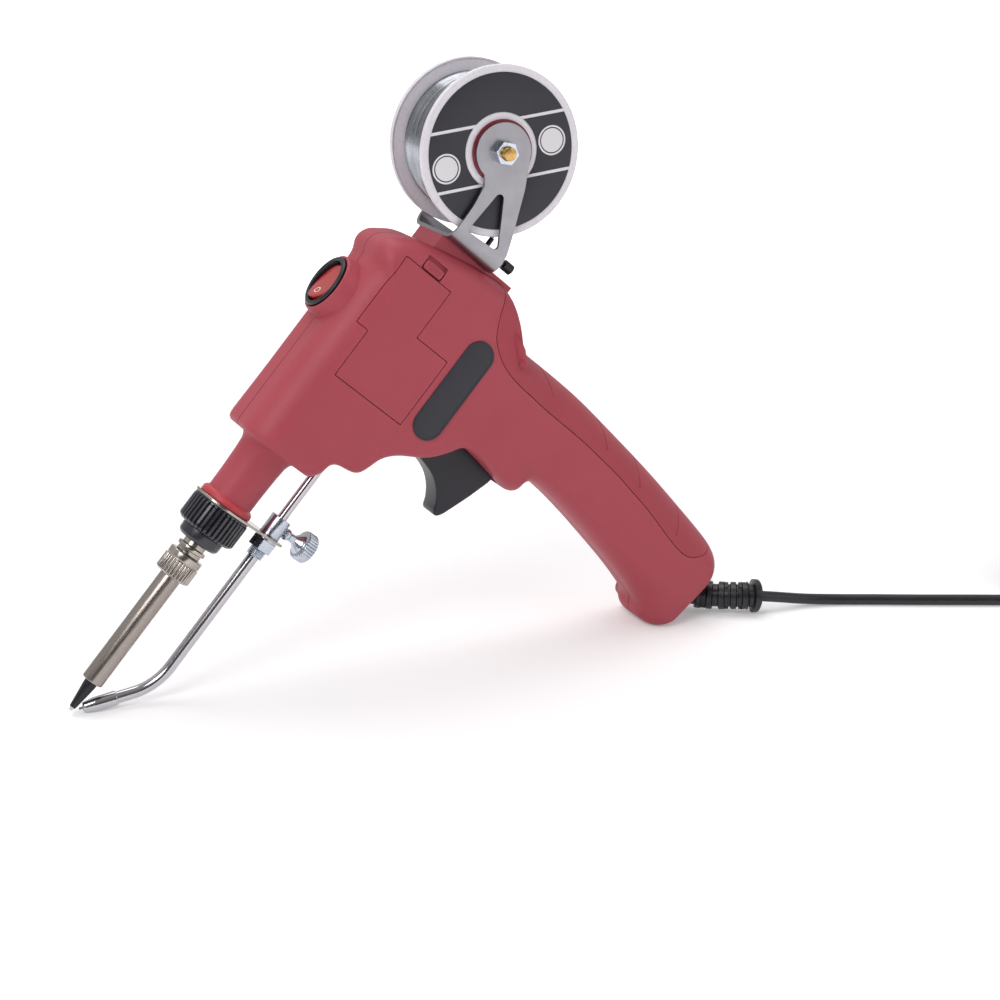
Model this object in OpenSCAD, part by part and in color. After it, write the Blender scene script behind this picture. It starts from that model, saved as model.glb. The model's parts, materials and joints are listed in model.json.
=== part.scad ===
// Solder feed soldering iron, standing on its nozzle and the toe of its handle.
// Every piece is drawn in the gun's own frame and then leaned into that pose:
// X runs along the barrel from the tip to the spool, Y is across, Z rises to the switch side.

/* [Pose] */
// Lean of the barrel from level
lean = 48.9; // [40:0.1:58]

/* [Barrel and tip] */
// Length of the bright point of the tip
nib_len = 1.6; // [1:0.1:3]
// Radius of the tip where the bright point starts
nib_r = 1.2; // [0.8:0.1:2]
// Length of the dark cone of the tip outside the sleeve
cone_len = 11.8; // [8:0.1:16]
// Radius of the tip where it enters the sleeve
cone_r = 2.6; // [2:0.1:3.2]
// Outer radius of the barrel sleeve
sleeve_r = 4.25; // [3.8:0.05:5]
// Wall of the barrel sleeve
sleeve_wall = 0.5; // [0.3:0.05:0.8]
// Length of the sleeve that shows
sleeve_len = 48.6; // [40:0.1:60]
// Radius of the knurled barrel nut
nut_r = 7.1; // [6:0.1:9]
// Length of the knurled barrel nut
nut_len = 10; // [7:0.1:14]
// Number of knurls round the barrel nut
nut_knurls = 30; // [20:1:40]
// Radius of the steel neck
neck_r = 4.9; // [4.6:0.1:6]
// Length of the steel neck
neck_len = 5.5; // [4:0.1:8]
// Radius of the black heater boss
boss_r = 8.7; // [7.5:0.1:10]
// Length of the heater boss below the collar
boss_len = 4.7; // [3:0.1:7]
// Radius of the knurled collar
collar_r = 11.9; // [11:0.1:13]
// Length of the knurled collar
collar_len = 11.6; // [9:0.1:14]
// Number of ribs round the collar
collar_ribs = 36; // [24:1:44]
// Radius of the ceramic heater
heater_r = 2.2; // [1.8:0.1:2.6]

/* [Nose tube] */
// Length of the nose tube from the support plate to the casing
nose_len = 26.8; // [22:0.1:34]
// Radius of the nose tube at its small end
nose_r = 9.2; // [8.6:0.1:10]
// Radius of the nose tube at the casing
nose_root_r = 9.9; // [9.2:0.1:11]
// Radius of the rim at the nose tube's end
rim_r = 10.8; // [10:0.1:12]
// Thickness of that rim
rim_t = 2.7; // [1.8:0.1:4]

/* [Casing] */
// Length of the head along the barrel
head_len = 100; // [92:0.5:110]
// Height of the front face above the barrel's axis
face_rise = 16.3; // [15:0.1:18]
// Depth of the head from the barrel's axis to the root of the handle
head_drop = 60; // [56:0.5:66]
// Length of the handle from its root
handle_len = 130; // [120:0.5:145]
// Half of the head's width
head_half = 19; // [18:0.1:21]
// Half of the handle's width
handle_half = 16.8; // [16:0.1:18]
// Wall of the casing
wall = 2.6; // [2.2:0.1:3]
// Thickness of the grip cushion
cushion_t = 1.4; // [1:0.1:1.6]
// Thickness of the feed cover
cover_t = 1.8; // [1.4:0.1:2.2]
// Running gap round covers, trigger and switch
gap = 0.3; // [0.2:0.05:0.4]
// Rounding along the front face's edges
face_round = 10; // [7:0.1:12]
// Rounding of the head's upright edges
back_round = 6; // [4:0.1:8]
// Depth of the handle from front to back
grip_depth = 37.4; // [35:0.1:40]
// Rounding of the handle's corners
grip_round = 13; // [10:0.1:15]
// Lean of the handle from square to the barrel
handle_lean = 6.6; // [4:0.1:9]
// Radius of the switch boss at its foot
boss_foot_r = 13; // [12.4:0.1:14]
// Radius of the switch boss at its rim
boss_rim_r = 11.7; // [11.4:0.1:12.2]
// Height of the switch boss above the front face
boss_rise = 4.7; // [3:0.1:7]

/* [Switch] */
// Radius of the switch bezel
bezel_r = 10.6; // [10.2:0.1:11.2]
// Radius of the rocker
rocker_r = 8.3; // [7.6:0.1:8.8]
// Tilt of the rocker from level
rocker_tilt = 9; // [6:0.5:12]

/* [Trigger] */
// Width of the trigger
trigger_w = 12; // [10:0.1:13]
// Radius of the trigger pin
pin_r = 1.5; // [1.2:0.05:1.8]

/* [Solder feed] */
// Diameter of the solder wire
wire_d = 1; // [0.8:0.05:1.2]
// Depth of the wire's line below the barrel's axis
wire_drop = 22; // [21.6:0.1:23]
// Radius of the feed and idler rollers
roller_r = 6; // [5.4:0.1:6.4]
// Width of the rollers
roller_w = 7; // [6:0.1:8]
// Radius of the ratchet wheel
ratchet_r = 8; // [7.4:0.1:8.2]
// Number of ratchet teeth
ratchet_teeth = 16; // [12:1:20]
// Radius of the feed axle
axle_r = 2; // [1.8:0.1:2.4]

/* [Guide] */
// Outer radius of the upper guide tube
upper_r = 1.9; // [1.7:0.05:2.1]
// Outer radius of the lower guide tube
lower_r = 2.3; // [2.2:0.05:2.5]
// Bore radius of the guide tubes
guide_bore_r = 1.1; // [1:0.05:1.3]
// Thickness of the support plate
plate_t = 1; // [0.8:0.1:1.4]
// Radius of the clamp block
block_r = 4.1; // [3.8:0.1:4.6]
// Length of the clamp block
block_len = 8.2; // [7:0.1:10]
// Width of the guide nut across its flats
guide_nut_af = 9; // [8.4:0.1:10]
// Thickness of the guide nut
guide_nut_t = 4.4; // [3.6:0.1:5.4]
// Bend radius of the lower guide tube
guide_bend_r = 24; // [20:0.5:26]
// Bend of the lower guide tube towards the tip
guide_bend = 41; // [38:0.5:44]
// Radius of the thumb screw's head
thumb_r = 6; // [5:0.1:7]
// Thickness of the thumb screw's head
thumb_t = 4.8; // [3.6:0.1:6]
// Radius of the nozzle
nozzle_r = 2.8; // [2.6:0.05:3.2]
// Length of the nozzle
nozzle_len = 12.9; // [10:0.1:15]

/* [Spool and bracket] */
// Radius of the spool's flanges
flange_r = 31.4; // [29:0.1:31.8]
// Thickness of the spool's flanges
flange_t = 1.8; // [1.4:0.1:2.4]
// Width of the spool over its flanges
spool_w = 31.8; // [30:0.1:32]
// Radius of the wound solder
winding_r = 26.5; // [24:0.1:27.5]
// Turns in the outer layer of solder
winding_turns = 20; // [14:1:20]
// Height of the spool's axis above the bracket's base
spool_lift = 36.5; // [36:0.1:40]
// Height of the spool's axis above the barrel's axis
spool_rise = 3.5; // [2.5:0.1:4.5]
// Thickness of the bracket's steel
steel_t = 1.4; // [1.2:0.1:1.6]
// Room between the spool's flange and a bracket arm
bracket_room = 1.1; // [0.9:0.1:2]
// Depth of the bracket along its base
bracket_depth = 23; // [21:0.1:25]
// Radius of the round heads of the bracket's arms
arm_head_r = 10.9; // [10:0.1:12]
// Radius of the spool bolt
bolt_r = 2.5; // [2.2:0.05:2.8]

/* [Cord] */
// Diameter of the mains cord
cord_d = 4.5; // [4.3:0.1:4.6]
// Radius of the strain relief's ribs
relief_r = 6.2; // [5.6:0.1:6.4]
// Number of ribs on the strain relief
relief_ribs = 7; // [5:1:8]
// Radius of the strain relief's end flange
relief_flange_r = 7; // [6.6:0.1:7.2]
// Whole turns of the coiled cord, in four layers
coil_turns = 7; // [5:1:9]
// Radius of the coil's innermost turn
coil_r = 22; // [21:0.5:26]
// Width of the plug
plug_w = 35.3; // [34:0.1:36]
// Thickness of the plug
plug_t = 13.7; // [13:0.1:15]
// Length of the plug
plug_len = 36; // [33:0.1:40]
// Radius of a plug pin
plug_pin_r = 2; // [1.9:0.05:2.1]
// Distance between the plug pins
plug_pitch = 19; // [18.6:0.1:19.2]
// Length of a plug pin
plug_pin_len = 19; // [18:0.1:20]

/* [Hidden] */
$fn = 48;

red = [0.69, 0.3, 0.345];
black = [0.13, 0.125, 0.15];
steel = [0.72, 0.71, 0.72];

// One overrun serves every cut, and one small clearance every still fit
over = 1;
fit = 0.1;
run_fit = 0.05;

// Stations along the barrel, counted from the point of the tip
sleeve_x = nib_len + cone_len;
nut_x = sleeve_x + sleeve_len;
neck_x = nut_x + nut_len;
boss_x = neck_x + neck_len;
collar_x = boss_x + boss_len;
plate_x = collar_x + collar_len;
nose_x = plate_x + plate_t;
head_x = nose_x + nose_len;

// Places on the casing, as shares of the head's length, the face's rise, the head's drop and, past 1, the handle
function along(share) = head_x + share * head_len;
function rise(share) = share >= 0 ? share * face_rise
    : share >= -1 ? share * head_drop : (share + 1) * handle_len - head_drop;
function place(p) = [along(p[0]), rise(p[1])];

// Outline of the casing as ribs: each row joins a point of the outer edge, from the nose over the front face,
// the top and the handle's back, to a point of the inner edge, along the underside and the handle's front
rib_shares = [
    [0, 0.908, 0, -0.215], [0.01, 0.975, 0.02, -0.253], [0.034, 1, 0.049, -0.277],
    [0.079, 1, 0.082, -0.29], [0.109, 1, 0.098, -0.32], [0.134, 1, 0.106, -0.392],
    [0.164, 1, 0.116, -0.457], [0.204, 1, 0.14, -0.493], [0.264, 1, 0.179, -0.517],
    [0.334, 1, 0.219, -0.548], [0.404, 1, 0.256, -0.61], [0.474, 1, 0.284, -0.688],
    [0.544, 1, 0.312, -0.773], [0.614, 1, 0.348, -0.845], [0.684, 1, 0.386, -0.9],
    [0.744, 1, 0.416, -0.937], [0.789, 1.025, 0.433, -0.967], [0.819, 1.098, 0.44, -1.004],
    [0.849, 1.086, 0.44, -1.027], [0.879, 0.97, 0.437, -1.054], [0.904, 0.755, 0.432, -1.085],
    [0.93, 0.49, 0.426, -1.115], [0.953, 0, 0.42, -1.142], [0.972, -0.133, 0.414, -1.169],
    [0.99, -0.267, 0.409, -1.196], [1.002, -0.4, 0.416, -1.222], [1.007, -0.517, 0.438, -1.238],
    [1, -0.593, 0.464, -1.243], [0.977, -0.65, 0.486, -1.254], [0.94, -0.697, 0.498, -1.277],
    [0.906, -0.75, 0.5, -1.308], [0.88, -0.83, 0.498, -1.346], [0.87, -0.942, 0.494, -1.385],
    [0.87, -1.046, 0.487, -1.431], [0.871, -1.138, 0.476, -1.492], [0.867, -1.238, 0.464, -1.55],
    [0.855, -1.346, 0.45, -1.612], [0.84, -1.462, 0.434, -1.681], [0.82, -1.6, 0.414, -1.754],
    [0.794, -1.738, 0.393, -1.815], [0.772, -1.846, 0.37, -1.851], [0.754, -1.915, 0.342, -1.866],
    [0.732, -1.958, 0.33, -1.895], [0.702, -1.98, 0.336, -1.929], [0.654, -1.988, 0.364, -1.9548],
    [0.594, -1.985, 0.414, -1.97]];
rib_n = len(rib_shares);
function outer_edge(k) = place([rib_shares[k][0], rib_shares[k][1]]);
function inner_edge(k) = place([rib_shares[k][2], rib_shares[k][3]]);
outline = concat([for (k = [0:rib_n - 1]) outer_edge(k)], [for (k = [rib_n - 1:-1:0]) inner_edge(k)]);
function mix(a, b, t) = a * (1 - t) + b * t;

// Section of the head, seen along the barrel: rounded over the front face, drawn in to the handle's width
taper_top = rise(-0.8);
taper_end = rise(-1.2);
foot_z = rise(-2.1);
module head_section(inset) {
    h = head_half - inset;
    g = handle_half - inset;
    r = face_round - inset;
    top = face_rise - inset;
    polygon([[-h, top - r], [h, top - r], [h, taper_top], [g, taper_end], [g, foot_z], [-g, foot_z],
        [-g, taper_end], [-h, taper_top]]);
    translate([r - h, taper_top]) square([2 * (h - r), top - taper_top]);
    for (s = [-1, 1]) translate([s * (h - r), top - r]) circle(r = r);
    translate([inset - face_round * 0.8, 0]) square([face_round * 1.6 - 2 * inset, boss_top - inset]);
}
// Rounded rectangle, long in X, centred in Y
module rounded(x0, x1, half, r) {
    translate([x0, r - half]) square([x1 - x0, 2 * (half - r)]);
    translate([x0 + r, -half]) square([x1 - x0 - 2 * r, 2 * half]);
    for (x = [x0 + r, x1 - r], y = [r - half, half - r]) translate([x, y]) circle(r = r);
}
module upright(z0, z1) translate([0, 0, z0]) linear_extrude(z1 - z0) children();
grip_mid = place([0.683, -1.231]);
module head_block(inset) upright(rise(-1.015) + inset, boss_top)
    rounded(head_x + inset - back_round * 0.4, along(1.02) - inset, head_half - inset, back_round - inset);
module grip_block(inset) translate([grip_mid[0], 0, grip_mid[1]]) rotate([0, handle_lean, 0])
    upright(-handle_len, handle_len * 0.26)
    rounded(inset - grip_depth / 2, grip_depth / 2 - inset, handle_half - inset, grip_round - inset);
module foot_block(inset) upright(foot_z, rise(-1.8) - inset)
    rounded(along(0.32) + inset, along(0.79) - inset, handle_half - 1 - inset, grip_round * 0.8 - inset);
module guard_block(inset) upright(rise(-1.28) + inset, rise(-1.13) - inset)
    rounded(along(0.39) + inset, along(0.66), handle_half * 0.72 - inset, grip_round * 0.45 - inset);
module body(inset) intersection() {
    side_plate(-head_half - over, head_half + over) offset(delta = -inset) polygon(outline);
    translate([head_x - over, 0, 0]) rotate([90, 0, 90]) linear_extrude(head_len * 1.1) head_section(inset);
    union() {
        head_block(inset);
        grip_block(inset);
        foot_block(inset);
        guard_block(inset);
    }
}

// Skin over a stack of rings with the same number of points, closed at both ends
module skin(rings) {
    n = len(rings[0]);
    m = len(rings);
    pts = [for (r = rings) each r];
    walls = [for (k = [0:m - 2], j = [0:n - 1])
        let(a = k * n + j, b = k * n + (j + 1) % n, c = a + n, d = b + n)
        each [[a, b, c], [b, d, c]]];
    caps = concat([for (j = [1:n - 2]) [0, j + 1, j]],
        [for (j = [1:n - 2]) let(z = (m - 1) * n) [z, z + j, z + j + 1]]);
    faces = concat(walls, caps);
    polyhedron(pts, faces);
}

// Round tube along a list of points
function unit(v) = v / norm(v);
function heading(p, i) = unit(p[min(i + 1, len(p) - 1)] - p[max(i - 1, 0)]);
function ring_at(c, t, ref, r, n) = let(s = unit(cross(t, ref)), u = cross(s, t))
    [for (k = [0:n - 1]) c + r * (cos(360 * k / n) * s + sin(360 * k / n) * u)];
module tube(path, r, n, ref)
    skin([for (i = [0:len(path) - 1]) ring_at(path[i], heading(path, i), ref, is_list(r) ? r[i] : r, n)]);
function path_length(p) = len(p) < 2 ? 0 : norm(p[1] - p[0]) + tail_length(p, 1, 0);
function tail_length(p, i, sum) = i >= len(p) - 1 ? sum : tail_length(p, i + 1, sum + norm(p[i + 1] - p[i]));

// Drawing helpers in the gun's frame
module along_x(x, y, z) translate([x, y, z]) rotate([0, 90, 0]) children();
module along_y(x, y, z) translate([x, y, z]) rotate([-90, 0, 0]) children();
module rod_x(x0, x1, r, y = 0, z = 0) along_x(x0, y, z) cylinder(r = r, h = x1 - x0);
module cone_x(x0, x1, r0, r1, y = 0, z = 0) along_x(x0, y, z) cylinder(r1 = r0, r2 = r1, h = x1 - x0);
module rod_y(p, y0, y1, r) along_y(p[0], y0, p[1]) cylinder(r = r, h = y1 - y0);
// A plate cut to an outline in the gun's side view, between two depths across
module side_plate(y0, y1) translate([0, y1, 0]) rotate([90, 0, 0]) linear_extrude(y1 - y0) children();
module box(lo, hi) translate(lo) cube(hi - lo);

// Standing pose: the lean, then the nozzle set on the ground and the whole centred over its footprint
function lean_x(p) = p[0] * cos(lean) - p[1] * sin(lean);
function lean_z(p) = p[0] * sin(lean) + p[1] * cos(lean);
nozzle_fall = lean - guide_bend;
nozzle_end = [nib_len * 2, -cone_len * 0.3];
nozzle_mouth_r = nozzle_r * 0.72;
nozzle_cone_len = nozzle_len * 0.4;
lift = max(nozzle_mouth_r * cos(nozzle_fall), nozzle_r * cos(nozzle_fall) - nozzle_cone_len * sin(nozzle_fall))
    - lean_z(nozzle_end);
shift = -max([for (p = outline) lean_x(p)]) / 2;
module stand() translate([shift, 0, lift]) rotate([0, -lean, 0]) children();
function stood(p) = [lean_x([p[0], p[2]]) + shift, p[1], lean_z([p[0], p[2]]) + lift];

// Trigger pivot, drive and idler
pivot = place([0.384, -0.667]);
drive_x = along(0.504);
roller_gap = wire_d / 2 + fit;
drive = [drive_x, -wire_drop + roller_gap + roller_r];
idler = [drive_x, -wire_drop - roller_gap - roller_r];
idler_hinge = [drive_x + roller_r * 2.3, idler[1] - roller_r * 0.75];
ratchet_y = [roller_w / 2 + 0.2, roller_w / 2 + 2.6];
arm_y = [ratchet_y[1] + 0.2, ratchet_y[1] + 2.2];
pawl_joint = pivot + [trigger_w, trigger_w / 6];
spring_room = 2.2;

// Screws that hold the casing together
screw_places = [place([0.09, 0.55]), place([0.95, -0.5]), place([0.25, -0.493]),
    place([0.674, -1.446]), place([0.404, -1.892])];
screw_r = 1.4;
screw_head_r = 2.7;
screw_boss_r = 3.3;
screw_recess = 3;
screw_boss_end = 0.2;

cover_top = [along(0.559), along(0.857)];
cover_main = [along(0.358), along(0.648)];
cover_high = [rise(-0.212), rise(0.595)];
cover_low = [rise(-0.478), rise(0.28)];
module cover_outline(grow) {
    translate([cover_main[0] - grow, cover_low[0] - grow])
        square([cover_main[1] - cover_main[0] + 2 * grow, cover_low[1] - cover_low[0] + 2 * grow]);
    translate([cover_top[0] - grow, cover_high[0] - grow])
        square([cover_top[1] - cover_top[0] + 2 * grow, cover_high[1] - cover_high[0] + 2 * grow]);
}
latch_len = 8.6;
latch_w = 3.4;
latch_t = 2.4;
latch_travel = 1.4;
latch_centre = [cover_top[1] + gap * 2 + latch_w / 2, rise(-0.033)];

switch_x = along(0.614);
boss_top = face_rise + boss_rise;
housing_r = bezel_r - 1.2;
module switch_axis() translate([switch_x, 0, 0]) children();

slot_half = trigger_w / 2 + gap;
slot_front = along(0.3);
slot_low = rise(-1.183);
slot_root = along(0.6);

plug_hole = along(0.537);
relief_neck_r = relief_r - 0.9;
frame_y = 10;
frame_t = 1.2;
terminal = place([0.66, -1.2]);
terminal_size = [9, 16, 16];
clamp_z = rise(-1.78);
clamp_w = 18;
clamp_h = 7;
relief_gap = 3;

// A post from the casing's side wall inwards, at a place in the side view
module post(p, side, y, r) rod_y(p, side < 0 ? -head_half : y, side < 0 ? -y : head_half, r);
module shell_bosses(side) intersection() {
    union() {
        for (p = screw_places) post(p, side, screw_boss_end, screw_boss_r);
        post(pivot, side, side < 0 ? trigger_w / 2 + spring_room : arm_y[1] + gap, pin_r * 2);
        if (side > 0) {
            post(drive, side, frame_y + frame_t, axle_r * 2);
            post(idler_hinge, side, frame_y + frame_t, pin_r * 2);
            box([terminal[0] - terminal_size[0] / 3, terminal_size[1] / 2, terminal[1] - terminal_size[2] / 3],
                [terminal[0] + terminal_size[0] / 3, head_half, terminal[1] + terminal_size[2] / 3]);
        }
        box([plug_hole - cord_d, side < 0 ? -head_half : clamp_w / 2, clamp_z],
            [plug_hole + cord_d, side < 0 ? -clamp_w / 2 : head_half, clamp_z + clamp_h]);
    }
    body(wall / 2);
}
module switch_boss(side) switch_axis() intersection() {
    translate([0, 0, face_rise - wall]) cylinder(r1 = boss_foot_r + wall * 0.4, r2 = boss_rim_r, h = boss_rise + wall);
    box([-boss_foot_r * 2, side < 0 ? -boss_foot_r * 2 : 0, 0], [boss_foot_r * 2, side < 0 ? 0 : boss_foot_r * 2, boss_top]);
}
module shell(side) difference() {
    union() {
        difference() {
            intersection() {
                body(0);
                box([head_x - over, side < 0 ? -head_half - over : 0, foot_z],
                    [along(1.1), side < 0 ? 0 : head_half + over, boss_top + over]);
            }
            body(wall);
        }
        switch_boss(side);
        shell_bosses(side);
    }
    switch_axis() cylinder(r = housing_r + fit, h = boss_top + over);
    rod_x(head_x - over, along(0.08), nose_r + fit);
    rod_x(along(0.08) - wall, along(0.2), upper_r + fit, 0, -wire_drop);
    rod_x(along(0.9), along(1.1), wire_d + fit, 0, -wire_drop);
    box([slot_front, -slot_half, slot_low], [slot_root, slot_half, rise(-0.7)]);
    translate([plug_hole, 0, foot_z]) cylinder(r = relief_neck_r + fit, h = clamp_z - relief_gap - foot_z + fit);
    rod_y(pivot, wall - head_half, head_half - wall, pin_r + fit);
    rod_y(drive, 0, head_half - wall, axle_r + fit);
    rod_y(idler_hinge, 0, head_half - wall, pin_r + fit);
    for (p = screw_places) rod_y(p, wall * 1.5 - head_half, head_half, screw_r + fit);
    cushion_pocket();
}
cushion_shares = [[1, -0.54], [0.871, -0.61], [0.823, -0.662], [0.775, -0.787], [0.753, -0.928], [0.743, -1.125],
    [0.742, -1.275], [0.726, -1.446], [0.691, -1.629], [0.649, -1.769], [0.64, -1.831], [0.656, -1.866],
    [0.703, -1.908], [0.9, -1.95], [1.1, -1.6], [1.1, -0.6]];
module cushion_prism(shrink) side_plate(-head_half - over, head_half + over)
    offset(delta = -shrink) polygon([for (s = cushion_shares) place(s)]);
module cushion_pocket() difference() {
    cushion_prism(0);
    body(cushion_t + fit);
}

module left_shell() color(red) difference() {
    shell(-1);
    side_plate(-head_half - over, -head_half + wall + over) cover_outline(gap);
    side_plate(-head_half - over, -head_half + wall + over)
        translate(latch_centre - [latch_w / 2 + gap, latch_len / 2 + gap])
        square([latch_w + 2 * gap + latch_travel, latch_len + 2 * gap]);
    side_plate(-head_half - over, -head_half + label_t) label_outline(fit);
}
module right_shell() color(red) difference() {
    shell(1);
    for (p = screw_places) rod_y(p, (p[1] < -head_drop ? handle_half : head_half) - screw_recess,
        head_half + over, screw_head_r + fit * 2);
}

// The nose tube passes the casing's end wall and keeps a flange behind it
nose_bore_r = heater_r + 4.6;
nose_end_share = 0.055;
nose_end = along(nose_end_share);
module nose_tube() color(red) difference() {
    union() {
        rod_x(nose_x, nose_x + rim_t, rim_r);
        cone_x(nose_x + rim_t - fit, head_x - rim_t, nose_r, nose_root_r - 0.2);
        cone_x(head_x - rim_t - fit, head_x - fit, nose_root_r - 0.2, nose_root_r + 1.1);
        rod_x(head_x - rim_t, nose_end, nose_r);
        rod_x(head_x + wall + fit, head_x + 2 * wall, nose_root_r + 1);
    }
    rod_x(nose_x - over, nose_end + over, nose_bore_r);
}

cover_pin_r = 0.8;
cover_hinge = [cover_main[0] + cover_pin_r * 1.5, -head_half + cover_t / 3];
module feed_cover() color(red) {
    side_plate(-head_half, -head_half + cover_t) cover_outline(0);
    for (z = [cover_low[0] + latch_len, cover_low[1] - latch_len])
        translate([cover_hinge[0] - cover_pin_r, -head_half + cover_t, z])
            cube([cover_pin_r * 4, wall * 0.9, latch_w]);
}
module cover_latch() color(red) {
    side_plate(-head_half + fit, -head_half + latch_t) translate(latch_centre - [latch_w, latch_len] / 2)
        square([latch_w, latch_len]);
}

module grip_cushion() color([0.74, 0.34, 0.38]) difference() {
    intersection() {
        body(0);
        cushion_prism(fit);
    }
    body(cushion_t);
}

label_r = 6.3;
label_t = 0.4;
label_ends = [place([0.424, -0.63]), place([0.735, -0.63])];
module label_outline(grow) hull() for (p = label_ends) translate(p) circle(r = label_r + grow);
module label_plate() color(black) side_plate(-head_half - label_t * 0.2, -head_half + label_t * 0.7) label_outline(0);

module case_screws() color(steel) for (p = screw_places) {
    face = (p[1] < -head_drop ? handle_half : head_half) - screw_recess;
    rod_y(p, -face * 0.8, face + fit, screw_r);
    rod_y(p, face + fit, face + screw_recess * 0.7, screw_head_r);
}

trigger_shares = [[0.356, -0.627], [0.33, -0.742], [0.307, -0.847], [0.298, -0.925], [0.28, -1.004],
    [0.246, -1.038], [0.204, -1.062], [0.172, -1.071], [0.167, -1.085], [0.18, -1.096], [0.299, -1.134],
    [0.413, -1.168], [0.444, -1.15], [0.457, -1.077], [0.444, -0.967], [0.418, -0.667]];
hub_r_trigger = pin_r * 2.1;
pawl_stud_r = 1;
pawl_y = [ratchet_y[0] + fit, ratchet_y[1] - fit];
module trigger() color(black) difference() {
    union() {
        side_plate(-trigger_w / 2, trigger_w / 2) polygon([for (s = trigger_shares) place(s)]);
        rod_y(pivot, -trigger_w / 2, arm_y[1], hub_r_trigger);
        side_plate(arm_y[0], arm_y[1]) hull() {
            translate(pivot) circle(r = hub_r_trigger);
            translate(pawl_joint) circle(r = pawl_stud_r * 2);
        }
        rod_y(pawl_joint, pawl_y[0], arm_y[1], pawl_stud_r);
    }
    rod_y(pivot, -trigger_w, trigger_w, pin_r + run_fit);
}
module trigger_pin() color(steel) rod_y(pivot, wall + fit - head_half, head_half - wall - fit, pin_r);
// Closed torsion springs, one on the trigger's pin and one on the idler's
module return_springs() color(steel) {
    difference() {
        rod_y(pivot, -trigger_w / 2 - spring_room + fit, -trigger_w / 2 - fit, hub_r_trigger * 0.92);
        rod_y(pivot, -trigger_w, trigger_w, pin_r + fit * 2);
    }
    difference() {
        rod_y(idler_hinge, fit - frame_y, -idler_y[1] - fit, pin_r * 1.7);
        rod_y(idler_hinge, -axle_end, axle_end, pin_r + fit * 2);
    }
}

// The pawl hangs on the trigger's stud and stands beside the drive wheel's teeth
pawl_nose = drive - [ratchet_r + 0.6, 3.2];
pawl_w = pawl_stud_r * 2;
module pawl() color(steel) difference() {
    side_plate(pawl_y[0], pawl_y[1]) union() {
        translate(pawl_joint) circle(r = pawl_w);
        polygon([pawl_joint + [-pawl_w, 0], pawl_joint + [-pawl_w * 0.5, -pawl_w * 0.87], pawl_joint + [pawl_w * 0.9, pawl_w * 0.4],
            pawl_nose + [0, -pawl_w], pawl_nose, pawl_nose + [-pawl_w * 0.3, pawl_w * 0.2], pawl_nose + [-pawl_w * 1.1, -pawl_w]]);
    }
    rod_y(pawl_joint, -trigger_w, trigger_w, pawl_stud_r + run_fit);
}

axle_end = frame_y + frame_t + 0.6;
frame_x = [drive_x - roller_r * 1.1, drive_x + roller_r * 3.4];
frame_z = [idler[1] - roller_r * 1.5, drive[1] + roller_r * 1.2];
module mechanism_frame() color(steel) difference() {
    union() {
        for (s = [-1, 1]) box([drive[0] - roller_r * 0.75, s > 0 ? frame_y : -frame_y - frame_t, idler_hinge[1] - roller_r * 0.6],
            [frame_x[1], s > 0 ? frame_y + frame_t : -frame_y, frame_z[1]]);
        box([frame_x[1] - frame_t, -frame_y - frame_t, idler_hinge[1] - roller_r * 0.6], [frame_x[1], frame_y + frame_t, frame_z[1]]);
    }
    rod_y(drive, -axle_end - over, axle_end + over, axle_r + run_fit);
    rod_y(idler_hinge, -axle_end - over, axle_end + over, pin_r + fit);
    rod_x(frame_x[1] - frame_t - over, frame_x[1] + over, wire_d + fit, 0, -wire_drop);
    rod_y(idler, -axle_end - over, axle_end + over, roller_r * 0.8);
}
module feed_axle() color(steel) rod_y(drive, -axle_end, axle_end, axle_r);
module grooved_roller(c, bore) difference() {
    rod_y(c, -roller_w / 2, roller_w / 2, roller_r);
    rod_y(c, -roller_w, roller_w, bore);
}
module feed_roller() color(steel) grooved_roller(drive, axle_r);
module ratchet_wheel() color(steel) difference() {
    side_plate(ratchet_y[0], ratchet_y[1]) translate(drive) polygon([for (i = [0:ratchet_teeth - 1], j = [0, 1])
        let(a = 360 * (i + j * 0.1) / ratchet_teeth, r = j == 0 ? ratchet_r : ratchet_r * 0.82) r * [cos(a), sin(a)]]);
    rod_y(drive, -trigger_w, trigger_w, axle_r);
}
idler_axle_r = pin_r * 0.9;
idler_y = [roller_w / 2 + 0.3, roller_w / 2 + 1.8];
module idler_arm() color(steel) difference() {
    union() {
        side_plate(-idler_y[1], -idler_y[0]) hull() {
            translate(idler) circle(r = idler_axle_r * 2);
            translate(idler_hinge) circle(r = pin_r * 2);
        }
        rod_y(idler_hinge, -idler_y[1], idler_y[0], pin_r * 1.8);
    }
    rod_y(idler_hinge, -trigger_w, trigger_w, pin_r + run_fit);
    rod_y(idler, -trigger_w, trigger_w, idler_axle_r);
}
module idler_pivot() color(steel) rod_y(idler_hinge, -axle_end, axle_end, pin_r);
module idler_axle() color(steel) rod_y(idler, -idler_y[1] - fit * 3, roller_w / 2 + fit, idler_axle_r);
module idler_roller() color(steel) grooved_roller(idler, idler_axle_r + run_fit);

// Wire inlet: an upright tube on the bracket's base with a cross bar and a knob behind
base_x = along(1.009);
inlet_x = base_x + steel_t;
bar_r = 1.1;
bar_rise = 7.4;
module wire_inlet_guide() color(black) difference() {
    union() {
        rod_x(inlet_x, inlet_x + bar_rise, bar_r * 2.1, 0, -wire_drop);
        rod_x(inlet_x + bar_rise - fit, inlet_x + bar_rise * 1.5, wire_d, 0, -wire_drop);
        translate([inlet_x + bar_rise - bar_r, 0, -wire_drop - bracket_depth * 0.62]) cylinder(r = bar_r, h = bracket_depth * 0.93);
        translate([inlet_x + bar_rise - bar_r, 0, -wire_drop - bracket_depth * 0.62]) cylinder(r = bar_r * 1.9, h = bar_r * 3.6);
    }
    rod_x(inlet_x - over, inlet_x + bar_rise * 1.5 + over, wire_d / 2 + fit, 0, -wire_drop);
}

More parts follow.
